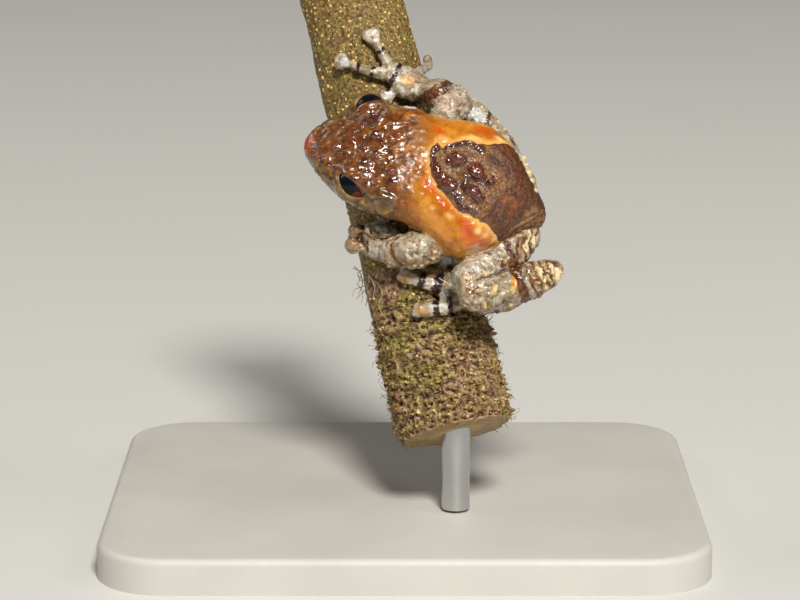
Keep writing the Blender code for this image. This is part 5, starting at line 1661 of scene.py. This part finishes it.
class StageSettings(bpy.types.PropertyGroup):
    floor_colour: FloatVectorProperty(
        name="Floor", description="Pale grey of the floor", subtype="COLOR",
        default=shown(206, 206, 202))
    frame_width: FloatProperty(
        name="Frame width", description="Width of the picture at the frog",
        default=90.0 * MM, min=0.01, unit="LENGTH")
    frame_drop: FloatProperty(
        name="Frame drop", description="How far the frame reaches lower, so that the stand shows",
        default=14.0 * MM, unit="LENGTH")
    key_power: FloatProperty(
        name="Key light", description="Power of the key light in watts", default=31.0, min=0.0)
    fill_power: FloatProperty(
        name="Fill light", description="Power of the fill lights in watts", default=4.6, min=0.0)
    sky: FloatProperty(
        name="Surroundings", description="Brightness of the surroundings", default=0.10, min=0.0)


def area_light(name, place, size, power, colour):
    """A round soft light that faces the frog."""
    light = bpy.data.lights.new(name, "AREA")
    light.shape = "DISK"
    light.size = size
    light.energy = power
    light.color = colour
    lamp = bpy.data.objects.new(name, light)
    bpy.context.scene.collection.objects.link(lamp)
    target = Vector(PICTURE_MIDDLE * MM)
    lamp.location = target + Vector(place)
    lamp.rotation_euler = (target - lamp.location).to_track_quat("-Z", "Y").to_euler()


class OBJECT_OT_frog_stage(bpy.types.Operator):
    """Make the floor, the lights and the camera"""
    bl_idname = "object.frog_stage"
    bl_label = "Stage"

    def execute(self, context):
        settings = context.scene.frog_stage
        floor = plain_shape("floor", bpy.ops.mesh.primitive_plane_add, size=8.0)
        tone = settings.floor_colour
        floor.data.materials.append(plain_finish("floor", tone, tone, 40.0, 0.6).material)

        area_light("key", (0.22, -1.08, 1.05), 0.36, settings.key_power, (1.0, 0.97, 0.92))
        area_light("fill", (-1.40, 0.40, 1.20), 0.90, settings.fill_power, (1.0, 0.98, 0.96))
        area_light("side", (1.35, -0.50, 1.10), 0.90, settings.fill_power, (1.0, 0.98, 0.96))
        world = bpy.data.worlds.new("surroundings")
        world.use_nodes = True
        world.node_tree.nodes["Background"].inputs["Color"].default_value = (1.0, 0.93, 0.84, 1.0)
        world.node_tree.nodes["Background"].inputs["Strength"].default_value = settings.sky
        context.scene.world = world
        context.scene.view_settings.view_transform = "Standard"

        lens = bpy.data.cameras.new("camera")
        lens.sensor_width = SENSOR
        lens.lens = SENSOR * CAMERA_DISTANCE * MM / settings.frame_width
        lens.shift_y = -settings.frame_drop / settings.frame_width
        lens.clip_start = 0.01
        camera = bpy.data.objects.new("camera", lens)
        context.scene.collection.objects.link(camera)
        camera.location = (PICTURE_MIDDLE - VIEW_AWAY * CAMERA_DISTANCE) * MM
        camera.rotation_euler = (math.pi / 2.0 - CAMERA_RISE, 0.0, 0.0)
        context.scene.camera = camera
        return {"FINISHED"}


SETTINGS = (
    ("frog_skin", FrogSkinSettings), ("frog_eyes", FrogEyeSettings), ("frog_stem", StemSettings),
    ("frog_stand", StandSettings), ("frog_stage", StageSettings),
)
STEPS = (
    (OBJECT_OT_frog_skin, "frog_skin"), (OBJECT_OT_frog_eyes, "frog_eyes"),
    (OBJECT_OT_stem_bark, "frog_stem"), (OBJECT_OT_stem_pores, None),
    (OBJECT_OT_stem_growth, None), (OBJECT_OT_frog_stand, "frog_stand"),
    (OBJECT_OT_frog_stage, "frog_stage"),
)


class VIEW3D_PT_bush_frog(bpy.types.Panel):
    """The pieces of the frog display and their settings"""
    bl_idname = "VIEW3D_PT_bush_frog"
    bl_label = "Bush Frog Display"
    bl_space_type = "VIEW_3D"
    bl_region_type = "UI"
    bl_category = "Bush Frog"

    def draw(self, context):
        for operator, group in STEPS:
            column = self.layout.column(align=True)
            column.operator(operator.bl_idname)
            if group:
                settings = getattr(context.scene, group)
                for name in settings.__annotations__:
                    column.prop(settings, name)


CLASSES = (*(group for _, group in SETTINGS), *(step for step, _ in STEPS), VIEW3D_PT_bush_frog)


def register():
    for item in CLASSES:
        bpy.utils.register_class(item)
    for name, group in SETTINGS:
        setattr(bpy.types.Scene, name, PointerProperty(type=group))


def unregister():
    for name, _ in SETTINGS:
        delattr(bpy.types.Scene, name)
    for item in reversed(CLASSES):
        bpy.utils.unregister_class(item)


def main():
    register()
    deselect()
    bpy.ops.object.frog_skin()
    bpy.ops.object.frog_eyes()
    bpy.ops.object.stem_bark()
    bpy.ops.object.stem_pores()
    bpy.ops.object.stem_growth()
    bpy.ops.object.frog_stand()
    bpy.ops.object.frog_stage()


if __name__ == "__main__":
    main()
